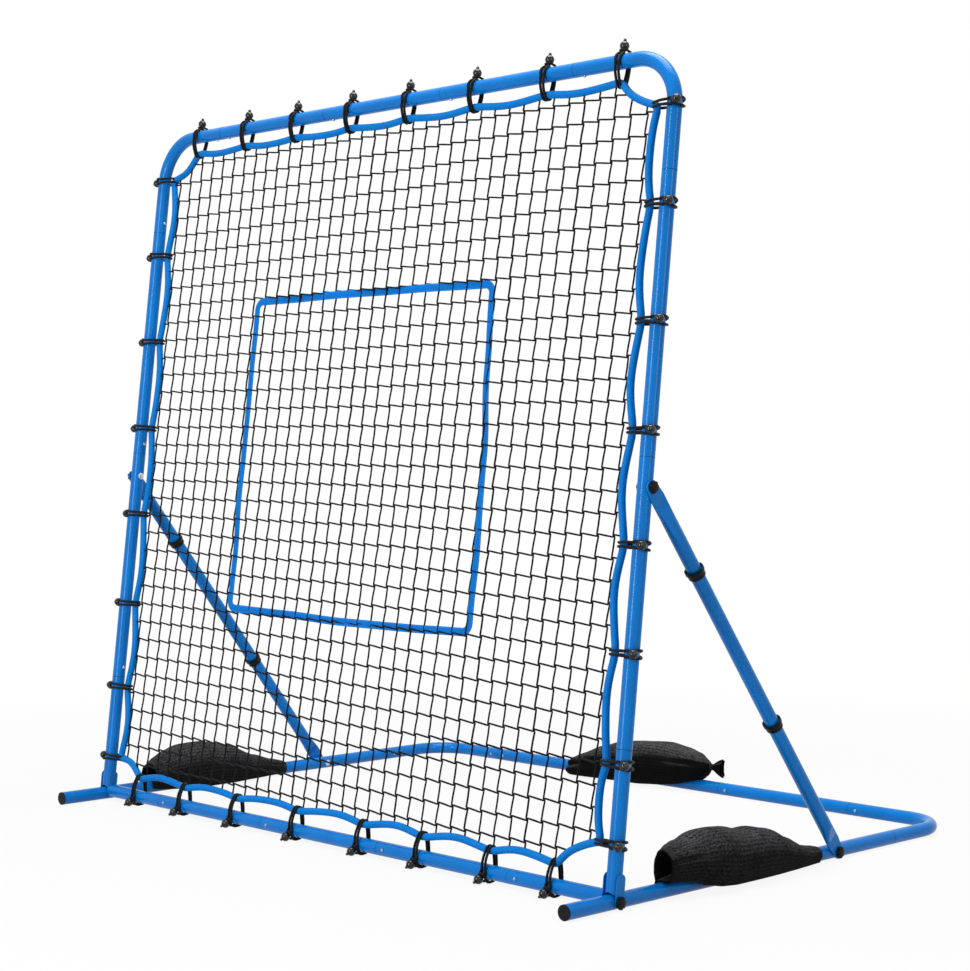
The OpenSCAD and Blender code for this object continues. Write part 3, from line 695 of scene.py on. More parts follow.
@dataclass(frozen=True)
class RibKnit:
    """Knitted polyester bag cloth: lengthwise ribs of loops, charcoal, stretched over sand.

    The top of a bag is drawn paler as painted top light, and its sides stay near black as painted
    shade; random patches of wear also vary it.
    As the cloth turns up past a set slope, it pales from a set share at the sides to full at the
    top.
    """

    name: str = "rib_knit_black"
    colour: str = "#070708"
    # Pale tone that the ribs, the wear and the painted top light blend towards.
    lit: str = "#6E6E70"
    rib_mm: float = 6.2
    loop_mm: float = 2.3
    wear_mm: float = 45.0
    # Painted light: from this upward slope on, the cloth pales; the sides keep the share below as
    # painted shade.
    painted_light_from: float = 0.15
    painted_flank_shade: float = 0.2

    def material(self) -> bpy.types.Material:
        """Builds the finish from the bag's UV map, u round it and v along it, in metres."""
        material, shader = new_material(self.name)
        coords = add_node(material, "ShaderNodeTexCoord")
        flat = coords.outputs["UV"]
        ribs = add_node(
            material,
            "ShaderNodeTexWave",
            inputs={
                "Vector": flat,
                "Scale": WAVE_PITCH / (self.rib_mm * MM),
                "Distortion": 3.4,
                "Detail": 3.0,
                "Detail Scale": 1.6,
            },
        )
        loops = add_node(
            material,
            "ShaderNodeTexVoronoi",
            inputs={"Vector": flat, "Scale": 1 / (self.loop_mm * MM)},
        )
        sunk = add_node(
            material,
            "ShaderNodeMath",
            {"operation": "MULTIPLY"},
            {0: loops.outputs["Distance"], 1: -1.2},
        )
        height = add_node(
            material,
            "ShaderNodeMath",
            {"operation": "MULTIPLY_ADD"},
            {0: ribs.outputs["Fac"], 1: 0.36, 2: sunk.outputs[0]},
        )
        raised = add_node(
            material,
            "ShaderNodeMapRange",
            inputs={0: height.outputs[0], 1: -0.9, 2: 0.35, 3: 0.0, 4: 1.5},
        )
        worn = add_node(
            material,
            "ShaderNodeTexNoise",
            inputs={
                "Vector": flat,
                "Scale": 1 / (self.wear_mm * MM),
                "Detail": 4.0,
                "Roughness": 0.7,
            },
        )
        upward = add_node(material, "ShaderNodeSeparateXYZ", inputs={0: coords.outputs["Normal"]})
        # Painted top light: paler the more the cloth faces up, near black on its sides as painted
        # shade.
        crown = add_node(
            material,
            "ShaderNodeMapRange",
            inputs={0: upward.outputs["Z"], 1: self.painted_light_from, 2: 0.95, 3: self.painted_flank_shade, 4: 1.15},
        )
        # Random wear patches, scaled by the painted top light.
        top_light_and_wear = add_node(
            material,
            "ShaderNodeMath",
            {"operation": "MULTIPLY"},
            {0: crown.outputs[0], 1: worn.outputs["Fac"]},
        )
        mixed = add_node(
            material,
            "ShaderNodeMath",
            {"operation": "MULTIPLY", "use_clamp": True},
            {0: raised.outputs[0], 1: top_light_and_wear.outputs[0]},
        )
        tone = add_node(
            material,
            "ShaderNodeMix",
            {"data_type": "RGBA"},
            {0: mixed.outputs[0], 6: linear(self.colour), 7: linear(self.lit)},
        )
        link(material, tone.outputs[2], shader.inputs["Base Color"])
        bump = add_node(
            material,
            "ShaderNodeBump",
            inputs={"Strength": 0.7, "Distance": 1.0 * MM, "Height": height.outputs[0]},
        )
        link(material, bump.outputs["Normal"], shader.inputs["Normal"])
        shader.inputs["Roughness"].default_value = 0.9
        shader.inputs["Specular IOR Level"].default_value = 0.03
        return material


# Darker copy of the same knit for the rear bag and its tail: painted shade, pale only where the
# cloth faces nearly straight up.
SHADED_REAR_KNIT = RibKnit("rib_knit_shaded", painted_light_from=0.42, painted_flank_shade=0.04)


# --- Sub-assemblies ---


@dataclass
class TubeWork:
    """The coated tubes, which keep their drawn shapes and get their paint."""

    prefixes: str = (
        "base_side base_corner rear_tube foot_corner upright_lower upright_upper "
        "top_corner top_tube cross_tube brace_upper brace_middle brace_lower"
    )
    finish: PowderCoat = PowderCoat()

    def build(self) -> None:
        """Paints every tube."""
        paint = self.finish.material()
        for name, obj in frame["nodes"].items():
            if name.startswith(tuple(self.prefixes.split())):
                dress(obj, paint)


@dataclass
class SeamEdges:
    """Dark rings at the tubes' seams: painted shade of the thin gap where two tubes meet, drawn as
    a dark line.
    """

    radius: float = 0.0008
    proud: float = 0.0003
    points: int = 32
    join: float = 0.002
    tolerance: float = 0.0002
    # Near-black blue that stands for the shadow in each seam's gap: painted shade.
    finish: MouldedPlastic = MouldedPlastic("seam_gap_shade", "#04162C", "#071E3A", 0.6, 1.0)

    def lines(self) -> dict[str, list[tuple[Vector, Vector, tuple[str, ...]]]]:
        """Per body, each tube row's middle, its direction and its straight tubes."""
        place = SIZES.place()
        across = Vector((1.0, 0.0, 0.0))
        up = place.to_3x3() @ Vector((0.0, 0.0, 1.0))
        back = Vector((0.0, 1.0, 0.0))
        rear = sum(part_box("rear_tube_middle"), Vector()) / 2
        parts = ("left", "middle", "right")
        frame_rows = [
            (place @ Vector((0.0, 0.0, z)), across, tuple(f"{row}_{part}" for part in parts))
            for row, z in (("top_tube", SIZES.height), ("cross_tube", SIZES.crossbar_rise))
        ]
        base_rows = [(rear, across, tuple(f"rear_tube_{part}" for part in parts))]
        for side, x in (("left", -SIZES.half_width), ("right", SIZES.half_width)):
            names = (f"upright_lower_{side}", f"upright_upper_{side}")
            frame_rows.append((place @ Vector((x, 0.0, 0.0)), up, names))
            base_rows.append((Vector((x, 0.0, SIZES.pivot.z)), back, (f"base_side_{side}",)))
        return {"net_frame": frame_rows, "base": base_rows}

    def ends(self, name: str, middle: Vector, along: Vector) -> tuple[float, float]:
        """Where a straight tube's full thickness starts and ends along its row.

        Args:
            name: The tube's node.
            middle: A point on the row's axis.
            along: Direction of the row.

        Returns:
            Both places, as distances from the middle.
        """
        obj = frame["nodes"][name]
        spots = []
        for vert in obj.data.vertices:
            off = obj.matrix_world @ vert.co - middle
            place = off.dot(along)
            if abs((off - along * place).length - SIZES.tube_radius) < self.tolerance:
                spots.append(place)
        return min(spots), max(spots)

    def seams(self, middle: Vector, along: Vector, names: Iterable[str]) -> list[float]:
        """Places of a row's seams along it, where two ends that meet count as one.

        Args:
            middle: A point on the row's axis.
            along: Direction of the row.
            names: Nodes of its straight tubes.

        Returns:
            Distances from the middle, in order.
        """
        spots: list[float] = []
        for name in names:
            low, high = self.ends(name, middle, along)
            spots += [high] if name.startswith("base_side") else [low, high]
        spots.sort()
        return [a for a, b in zip(spots, spots[1:] + [math.inf]) if b - a > self.join]

    def ring(self, middle: Vector, along: Vector) -> list[Vector]:
        """Points of one seam's line round its tube.

        Args:
            middle: Point on the tube's axis.
            along: Direction of the axis.

        Returns:
            The points in order.
        """
        turn = along.to_track_quat("Z", "Y").to_matrix()
        far = SIZES.tube_radius - self.radius + self.proud
        angles = (math.tau * k / self.points for k in range(self.points))
        return [middle + turn @ Vector((far * math.cos(a), far * math.sin(a), 0.0)) for a in angles]

    def build(self) -> list[bpy.types.Object]:
        """Makes the rings, one object per body."""
        paint = self.finish.material()
        pieces = []
        for body, rows in self.lines().items():
            rings = [
                self.ring(middle + along * spot, along)
                for middle, along, names in rows
                for spot in self.seams(middle, along, names)
            ]
            piece = cord_mesh(f"seam_edges_{body}", rings, self.radius, 6, True)
            dress(piece, paint)
            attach(piece, body)
            pieces.append(piece)
        return pieces


@dataclass
class Fittings:
    """Caps, knobs, locks, bolts and buttons, which keep their drawn shapes."""

    plastic: MouldedPlastic = MouldedPlastic()
    lock_plastic: MouldedPlastic = MouldedPlastic("moulded_lock", "#0A0A0B", "#131315", 0.36, 1.0)
    bolt_steel: BrightSteel = BrightSteel("zinc_plate")
    button_steel: BrightSteel = BrightSteel("spring_steel", "#A2A7AC")

    def build(self) -> None:
        """Gives each kind of fitting its finish."""
        kinds = {
            "caps": self.plastic.material(),
            "knob": self.plastic.material(),
            "lock": self.lock_plastic.material(),
            "bolts": self.bolt_steel.material(),
            "button": self.button_steel.material(),
        }
        for name, obj in frame["nodes"].items():
            for word, material in kinds.items():
                if word in name:
                    dress(obj, material)


@dataclass
class BorderRope:
    """Padded rope that edges the net, pulled out at every tie and bowed in between."""

    steps: int = 14
    bows: dict[Edge, float] = field(
        default_factory=lambda: {
            Edge.BOTTOM: 0.014,
            Edge.RIGHT: 0.017,
            Edge.TOP: 0.009,
            Edge.LEFT: 0.017,
        }
    )
    corner_bow: float = 0.014
    unevenness: float = 0.12
    finish: SleeveCloth = SleeveCloth()

    def held_points(self) -> list[tuple[float, float]]:
        """Points where the ties hold the rope, round the net from the lower left."""
        reach, half = SIZES.border_reach, SIZES.half_width
        low, high = SIZES.crossbar_rise + reach, SIZES.height - reach
        order = range(TIES.count)
        return (
            [(TIES.at(Edge.BOTTOM, i), low) for i in order]
            + [(half - reach, TIES.at(Edge.RIGHT, i)) for i in order]
            + [(TIES.at(Edge.TOP, i), high) for i in reversed(order)]
            + [(reach - half, TIES.at(Edge.LEFT, i)) for i in reversed(order)]
        )

    def path(self) -> list[tuple[float, float]]:
        """Closed centre line of the rope, in the net's plane."""
        held = self.held_points()
        edges = list(Edge)
        out: list[Vector] = []
        for i, here in enumerate(held):
            after = held[(i + 1) % len(held)]
            a, b = Vector(here), Vector(after)
            last = i % TIES.count == TIES.count - 1
            bow = self.corner_bow if last else self.bows[edges[i // TIES.count]]
            along = (b - a).normalized()
            inward = Vector((-along.y, along.x))
            for k in range(self.steps):
                u = k / self.steps
                lean = self.unevenness * math.sin(2 * math.pi * u + i)
                sway = math.sin(math.pi * u) * (1 + lean)
                out.append(a + (b - a) * u + inward * bow * sway)
        count = len(out)
        soft = [out[k] * 0.5 + (out[k - 1] + out[(k + 1) % count]) * 0.25 for k in range(count)]
        return [(p.x, p.y) for p in soft]

    def build(self) -> bpy.types.Object:
        """Makes the rope and puts it in place of its plain solid."""
        points = in_frame((x, 0.0, up) for x, up in self.path())
        rope = cord_mesh("border_rope", [points], SIZES.border_radius, 16, closed=True)
        dress(rope, self.finish.material())
        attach(rope, "net_frame")
        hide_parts("net_border")
        return rope


@dataclass
class Netting:
    """Square-hung netting whose strands step at each crossing, held inside the border rope."""

    border: BorderRope
    mesh_across: float = 0.0489
    mesh_up: float = 0.0500
    cord_radius: float = 0.0024
    step: float = 0.0050
    crossing: float = 0.12
    wander: float = 0.0022
    depth: float = 0.0006
    finish: BraidedCord = BraidedCord("net_cord_black", "#060607", "#111214", 3.0, 0.75)

    def spans(self, value: float, axis: int) -> list[tuple[float, float]]:
        """Stretches of the line across or up at a value that lie inside the border.

        Args:
            value: Place of the line.
            axis: 0 for a line at a place across, 1 for a line at a height.

        Returns:
            Start and end of each stretch along the other axis.
        """
        path = self.border.path()
        hits = []
        for a, b in zip(path, path[1:] + path[:1]):
            if (a[axis] - value) * (b[axis] - value) < 0:
                t = (value - a[axis]) / (b[axis] - a[axis])
                hits.append(a[1 - axis] + t * (b[1 - axis] - a[1 - axis]))
        hits.sort()
        return list(zip(hits[::2], hits[1::2]))

    def strand(self, value: float, axis: int, pitch: float, origin: float) -> list[list[Vector]]:
        """Routes of one strand, stepping from crossing to crossing.

        Args:
            value: Mean place of the strand.
            axis: 0 for an upright strand, 1 for one that runs across.
            pitch: Distance between the strands that it crosses.
            origin: Place of one of those strands.

        Returns:
            Points of each stretch of the strand.
        """
        sign = 1 if axis == 0 else -1
        half = self.crossing / 2
        routes = []
        for low, high in self.spans(value, axis):
            marks = {low, high}
            first = math.ceil((low - origin) / pitch)
            last = math.floor((high - origin) / pitch)
            for k in range(first - 1, last + 2):
                for off in (-half, 0.0, half, 0.5):
                    at = origin + (k + off) * pitch
                    if low < at < high:
                        marks.add(at)
            points = []
            for at in sorted(marks):
                cell = (at - origin) / pitch
                frac = cell - math.floor(cell)
                if frac < half:
                    lift = frac / half
                elif frac > 1 - half:
                    lift = (frac - 1) / half
                else:
                    lift = 1 - 2 * (frac - half) / (1 - 2 * half)
                wander = noise.noise(Vector((value * 5.0, at * 3.0, axis * 7.0))) * self.wander
                off = -sign * lift * self.step / 2 + wander
                depth = self.depth * math.cos(math.pi * round(cell + value / pitch))
                place = (value + off, depth, at) if axis == 0 else (at, -depth, value + off)
                points.append(place)
            routes.append(in_frame(points))
        return routes

    def build(self) -> bpy.types.Object:
        """Makes the net and puts it in place of its plain slab."""
        left, right = self.spans(SIZES.height / 2, 1)[0]
        low, high = self.spans(0.0, 0)[0]
        middle_up = (low + high) / 2
        routes = []
        columns = int((right - left) / self.mesh_across / 2)
        for i in range(-columns, columns + 1):
            routes += self.strand(i * self.mesh_across, 0, self.mesh_up, middle_up)
        rows = int((high - low) / self.mesh_up / 2)
        for j in range(-rows, rows + 1):
            routes += self.strand(middle_up + j * self.mesh_up, 1, self.mesh_across, 0.0)
        net = cord_mesh("netting", routes, self.cord_radius, 6, closed=False)
        dress(net, self.finish.material())
        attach(net, "net_frame")
        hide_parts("net")
        return net


@dataclass
class StrikeBand:
    """Flat webbing woven through the net as a rounded square target."""

    width: float = 0.918
    height: float = 0.832
    low: float = 0.553
    middle: float = -0.008
    band: float = 0.020
    thickness: float = 0.0014
    corner: float = 0.022
    weave: float = 0.0026
    corner_steps: int = 6
    step: float = 0.016
    sides: tuple[float, ...] = (-0.5, -0.44, 0.44, 0.5)
    droop: float = 0.0004
    pulls_mm: dict[Edge, tuple[float, ...]] = field(
        default_factory=lambda: {
            Edge.RIGHT: (-4.0, 1.0, -3.0, -15.0, -20.0),
            Edge.TOP: (5.0, 3.0, 2.0, 3.0, 5.0),
            Edge.LEFT: (3.0, 6.0, 8.0, 9.0, 8.0),
            Edge.BOTTOM: (1.0, 4.0, 9.5, 9.0, 5.5),
        }
    )
    finish: Webbing = Webbing()

    def pull(self, point: Vector) -> Vector:
        """How far the net's tension moves a point of the band.

        Args:
            point: Place across and up, before it is moved.

        Returns:
            The small move across and up.
        """
        share_x = (point.x - self.middle) / self.width + 0.5
        share_up = (point.y - self.low) / self.height

        def along(edge: Edge, share: float) -> float:
            """Inward pull on one side of the band.

            Args:
                edge: The side.
                share: Place along it, from 0 to 1.

            Returns:
                The pull there.
            """
            table = self.pulls_mm[edge]
            spot = min(max(share, 0.0), 0.9999) * (len(table) - 1)
            k = int(spot)
            return (table[k] + (table[k + 1] - table[k]) * ease(spot - k)) * MM

        right = along(Edge.RIGHT, share_up)
        left = -along(Edge.LEFT, 1 - share_up)
        top = -along(Edge.TOP, share_x)
        bottom = -along(Edge.BOTTOM, share_x)
        return Vector((left + (right - left) * share_x, bottom + (top - bottom) * share_up))

    def path(self) -> list[tuple[Vector, Vector]]:
        """Centre line of the band with its outward direction, round the square."""
        half = self.width / 2 - self.corner
        rise = self.height - 2 * self.corner
        middles = [
            (half, self.low + self.corner + rise),
            (-half, self.low + self.corner + rise),
            (-half, self.low + self.corner),
            (half, self.low + self.corner),
        ]
        rounds = []
        for i, (x, up) in enumerate(middles):
            for k in range(self.corner_steps + 1):
                turn = math.radians(90 * i + 90 * k // self.corner_steps)
                out = Vector((math.cos(turn), math.sin(turn)))
                rounds.append((Vector((x + self.middle, up)) + out * self.corner, out))
        points = []
        for (a, out_a), (b, out_b) in zip(rounds, rounds[1:] + rounds[:1]):
            pieces = max(1, round((b - a).length / self.step))
            for k in range(pieces):
                u = k / pieces
                point = a.lerp(b, u)
                points.append((point + self.pull(point), out_a.lerp(out_b, u).normalized()))
        return points

    def build(self) -> bpy.types.Object:
        """Makes the band and puts it in place of its plain solid."""
        mesh = bmesh.new()
        uv = mesh.loops.layers.uv.new("flat")
        path = self.path()
        place = SIZES.place()
        lines = []
        along = 0.0
        for i, (point, out) in enumerate(path):
            weave = noise.noise(Vector((along * 6.0, 2.0, 5.0))) * 2 * self.weave
            row = []
            for side in self.sides:
                spot = point + out * self.band * side
                droop = self.droop if abs(side) == 0.5 else 0.0
                row.append(mesh.verts.new(place @ Vector((spot.x, weave + droop, spot.y))))
            lines.append((along, row))
            along += (path[(i + 1) % len(path)][0] - point).length
        lines.append((along, lines[0][1]))
        for (start, row), (end, after) in zip(lines, lines[1:]):
            for k, (side_a, side_b) in enumerate(zip(self.sides, self.sides[1:])):
                face = mesh.faces.new((row[k], row[k + 1], after[k + 1], after[k]))
                corners = ((start, side_a), (start, side_b), (end, side_b), (end, side_a))
                for loop, (u, v) in zip(face.loops, corners):
                    loop[uv].uv = (u, v * self.band)
        band = to_object("strike_band", mesh)
        solid = band.modifiers.new("thickness", "SOLIDIFY")
        solid.thickness = self.thickness
        solid.offset = 0
        dress(band, self.finish.material())
        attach(band, "net_frame")
        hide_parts("strike_zone")
        return band


@dataclass
class ElasticTies:
    """Elastic loops from ball to tube, round the border rope and back over the ball's neck."""

    cord_radius: float = 0.0033
    play: float = 0.0003
    ball_radius: float = 0.0112
    lever: float = 0.0368
    hook_radius: float = 0.0090
    front_spread: float = 0.0042
    back_spread: float = 0.0030
    slack: float = 0.0036
    inset: float = 0.004
    leave_turn: float = 0.10
    land_turn: float = 0.3
    steps: int = 8
    free_steps: int = 6
    back_steps: int = 10
    hook_steps: int = 4
    rise_from: float = 0.7
    twist: float = 0.05
    nub_length: float = 0.0062
    nub_radii: tuple[float, float] = (0.0030, 0.0044)
    nub_sunk: float = 0.001
    collar_length: float = 0.0030
    collar_radii: tuple[float, float] = (0.0062, 0.0052)
    collar_sunk: float = 0.0012
    right_turn: float = math.radians(45)
    ground_clearance: float = 0.0008
    cord: BraidedCord = BraidedCord("elastic_black", "#060607", "#141518", 1.8, 0.5)
    ball: MouldedPlastic = MouldedPlastic("ball_gloss", "#050506", "#09090A", 0.14, 2.5, 0.4)

    def turn(self, edge: Edge) -> float:
        """How far a ball is turned round its tube from the outer side towards the front.

        Args:
            edge: Side of the net frame.

        Returns:
            The angle.
        """
        if edge is Edge.RIGHT:
            return self.right_turn
        if edge is Edge.BOTTOM:
            axis_up = SIZES.pivot.z + SIZES.crossbar_rise
            below = (axis_up - self.ball_radius - self.ground_clearance) / self.lever
            return math.pi / 2 - SIZES.lean - math.asin(below)
        return 0.0

    def seat(self, edge: Edge, i: int) -> Matrix:
        """Place of a tie: its origin on the tube's axis and its z axis towards the net.

        Args:
            edge: Side of the net frame.
            i: Number of the tie on it.

        Returns:
            The matrix from the tie's own axes to the part's.
        """
        at = TIES.at(edge, i)
        spot, turn = {
            Edge.BOTTOM: ((at, 0.0, SIZES.crossbar_rise), Euler((0.0, 0.0, 0.0))),
            Edge.RIGHT: ((SIZES.half_width, 0.0, at), Euler((0.0, -math.pi / 2, 0.0))),
            Edge.TOP: ((at, 0.0, SIZES.height), Euler((0.0, math.pi, 0.0))),
            Edge.LEFT: ((-SIZES.half_width, 0.0, at), Euler((0.0, math.pi / 2, 0.0))),
        }[edge]
        return SIZES.place() @ Matrix.Translation(spot) @ turn.to_matrix().to_4x4()

    def route(self, turn: float) -> list[Vector]:
        """Half of the loop, from inside the ball to the far side of its neck.

        Args:
            turn: Angle by which the ball is turned towards the front.

        Returns:
            Points in the tie's own axes, on the side of positive x.
        """
        wrap = SIZES.tube_radius + self.play + self.cord_radius
        tuck = SIZES.border_radius + self.play + self.cord_radius
        touch = math.acos((wrap - tuck) / SIZES.border_reach)
        ball_at = math.pi - turn
        beside = self.cord_radius * 1.04

        def on_tube(angle: float, radius: float, aside: float) -> Vector:
            """Point over the tube, at an angle from the side that faces the net."""
            return Vector((aside, -radius * math.sin(angle), radius * math.cos(angle)))

        def on_rope(angle: float) -> Vector:
            """Point round the border rope, at an angle from the side that faces the net."""
            rise = SIZES.border_reach + tuck * math.cos(angle)
            return Vector((beside * 1.3, -tuck * math.sin(angle), rise))

        def between(a: Vector, b: Vector, bow: float) -> list[Vector]:
            """Free run of the cord, which bows away from the net's plane.

            Args:
                a: Point where it starts.
                b: Point where it ends.
                bow: How far its middle is moved.

            Returns:
                Points between both.
            """
            out = []
            for k in range(1, self.free_steps):
                u = k / self.free_steps
                point = a.lerp(b, u)
                point.y += math.copysign(bow, a.y) * math.sin(math.pi * u)
                out.append(point)
            return out

        high = wrap + self.cord_radius * 1.5
        points = [on_tube(ball_at, self.lever - self.inset, beside * 0.6)]
        points.append(on_tube(ball_at - self.leave_turn, high, beside * 0.8))
        for k in range(self.steps + 1):
            u = k / self.steps
            angle = ball_at - self.land_turn + (touch - ball_at + self.land_turn) * u
            spread = self.front_spread * math.sin(math.pi * (0.16 + 0.7 * u))
            points.append(on_tube(angle, wrap, beside + spread))
        points += between(points[-1], on_rope(touch), self.slack)
        points += [on_rope(touch - 2 * touch * k / self.steps) for k in range(self.steps + 1)]
        points += between(points[-1], on_tube(-touch, wrap, beside), self.slack / 3)
        neck = ball_at - 2 * math.pi + self.hook_radius / wrap
        for k in range(self.back_steps + 1):
            u = k / self.back_steps
            aside = beside + (self.hook_radius - beside) * u * u
            aside += self.back_spread * math.sin(math.pi * u)
            raised = max(0.0, u - self.rise_from) / (1 - self.rise_from)
            angle = -touch + (neck + touch) * u
            points.append(on_tube(angle, wrap + self.cord_radius * 1.5 * raised, aside))
        over = wrap + self.cord_radius * 1.7
        for k in range(1, self.hook_steps + 1):
            swing = math.pi / 2 * k / self.hook_steps
            angle = ball_at - self.hook_radius * math.sin(swing) / over
            points.append(on_tube(angle, over, self.hook_radius * math.cos(swing)))
        return points

    def cords(self, edge: Edge, material: bpy.types.Material) -> bpy.types.Object:
        """Makes the cords of one side of the net.

        Args:
            edge: The side.
            material: Finish of the cords.

        Returns:
            The piece.
        """
        routes = []
        half = self.route(self.turn(edge))
        other = [Vector((-p.x, p.y, p.z)) for p in reversed(half[:-1])]
        for i in range(TIES.count):
            seat = self.seat(edge, i)
            twist = Matrix.Rotation(self.twist * math.sin(2.3 * i + edge.value), 4, "Z")
            routes.append([seat @ twist @ p for p in half + other])
        name = "tie_loops_" + edge.name.lower()
        cords = cord_mesh(name, routes, self.cord_radius, 8, closed=False)
        dress(cords, material)
        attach(cords, "net_frame")
        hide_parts("tie_cords_" + edge.name.lower())
        return cords

    def balls(self) -> bpy.types.Object:
        """Makes the balls, each with its eye towards the tube and a nub on its outer side."""
        mesh = bmesh.new()
        nub_at = self.ball_radius + self.nub_length / 2 - self.nub_sunk
        trims = (
            (12, self.nub_radii, self.nub_length, -nub_at),
            (16, self.collar_radii, self.collar_length, self.ball_radius - self.collar_sunk),
        )
        for edge in Edge:
            for i in range(TIES.count):
                turned = Matrix.Rotation(-self.turn(edge), 4, "X")
                middle = self.seat(edge, i) @ turned @ Matrix.Translation((0, 0, -self.lever))
                bmesh.ops.create_uvsphere(
                    mesh, u_segments=20, v_segments=12, radius=self.ball_radius, matrix=middle
                )
                for segments, radii, length, at in trims:
                    bmesh.ops.create_cone(
                        mesh,
                        cap_ends=True,
                        segments=segments,
                        radius1=radii[0],
                        radius2=radii[1],
                        depth=length,
                        matrix=middle @ Matrix.Translation((0, 0, at)),
                    )
        balls = to_object("tie_balls_gloss", mesh)
        dress(balls, self.ball.material())
        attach(balls, "net_frame")
        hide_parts("tie_balls")
        return balls

    def build(self) -> list[bpy.types.Object]:
        """Makes every tie."""
        material = self.cord.material()
        return [*(self.cords(edge, material) for edge in Edge), self.balls()]


@dataclass(frozen=True)
class BagStation:
    """One cross-section of a sandbag over its tube: heights are over the tube's axis."""

    along: float
    half_width: float
    top: float
    near: float
    far: float
    shift: float = 0.0

    def foot(self, side: float) -> float:
        """Height of the lower edge on a side: positive is the side that faces the player."""
        return self.near if side > 0 else self.far


@dataclass(frozen=True)
class Fold:
    """A crease pressed into the cloth, between two places on it (along, round)."""

    start: tuple[float, float]
    end: tuple[float, float]
    width: float
    depth: float


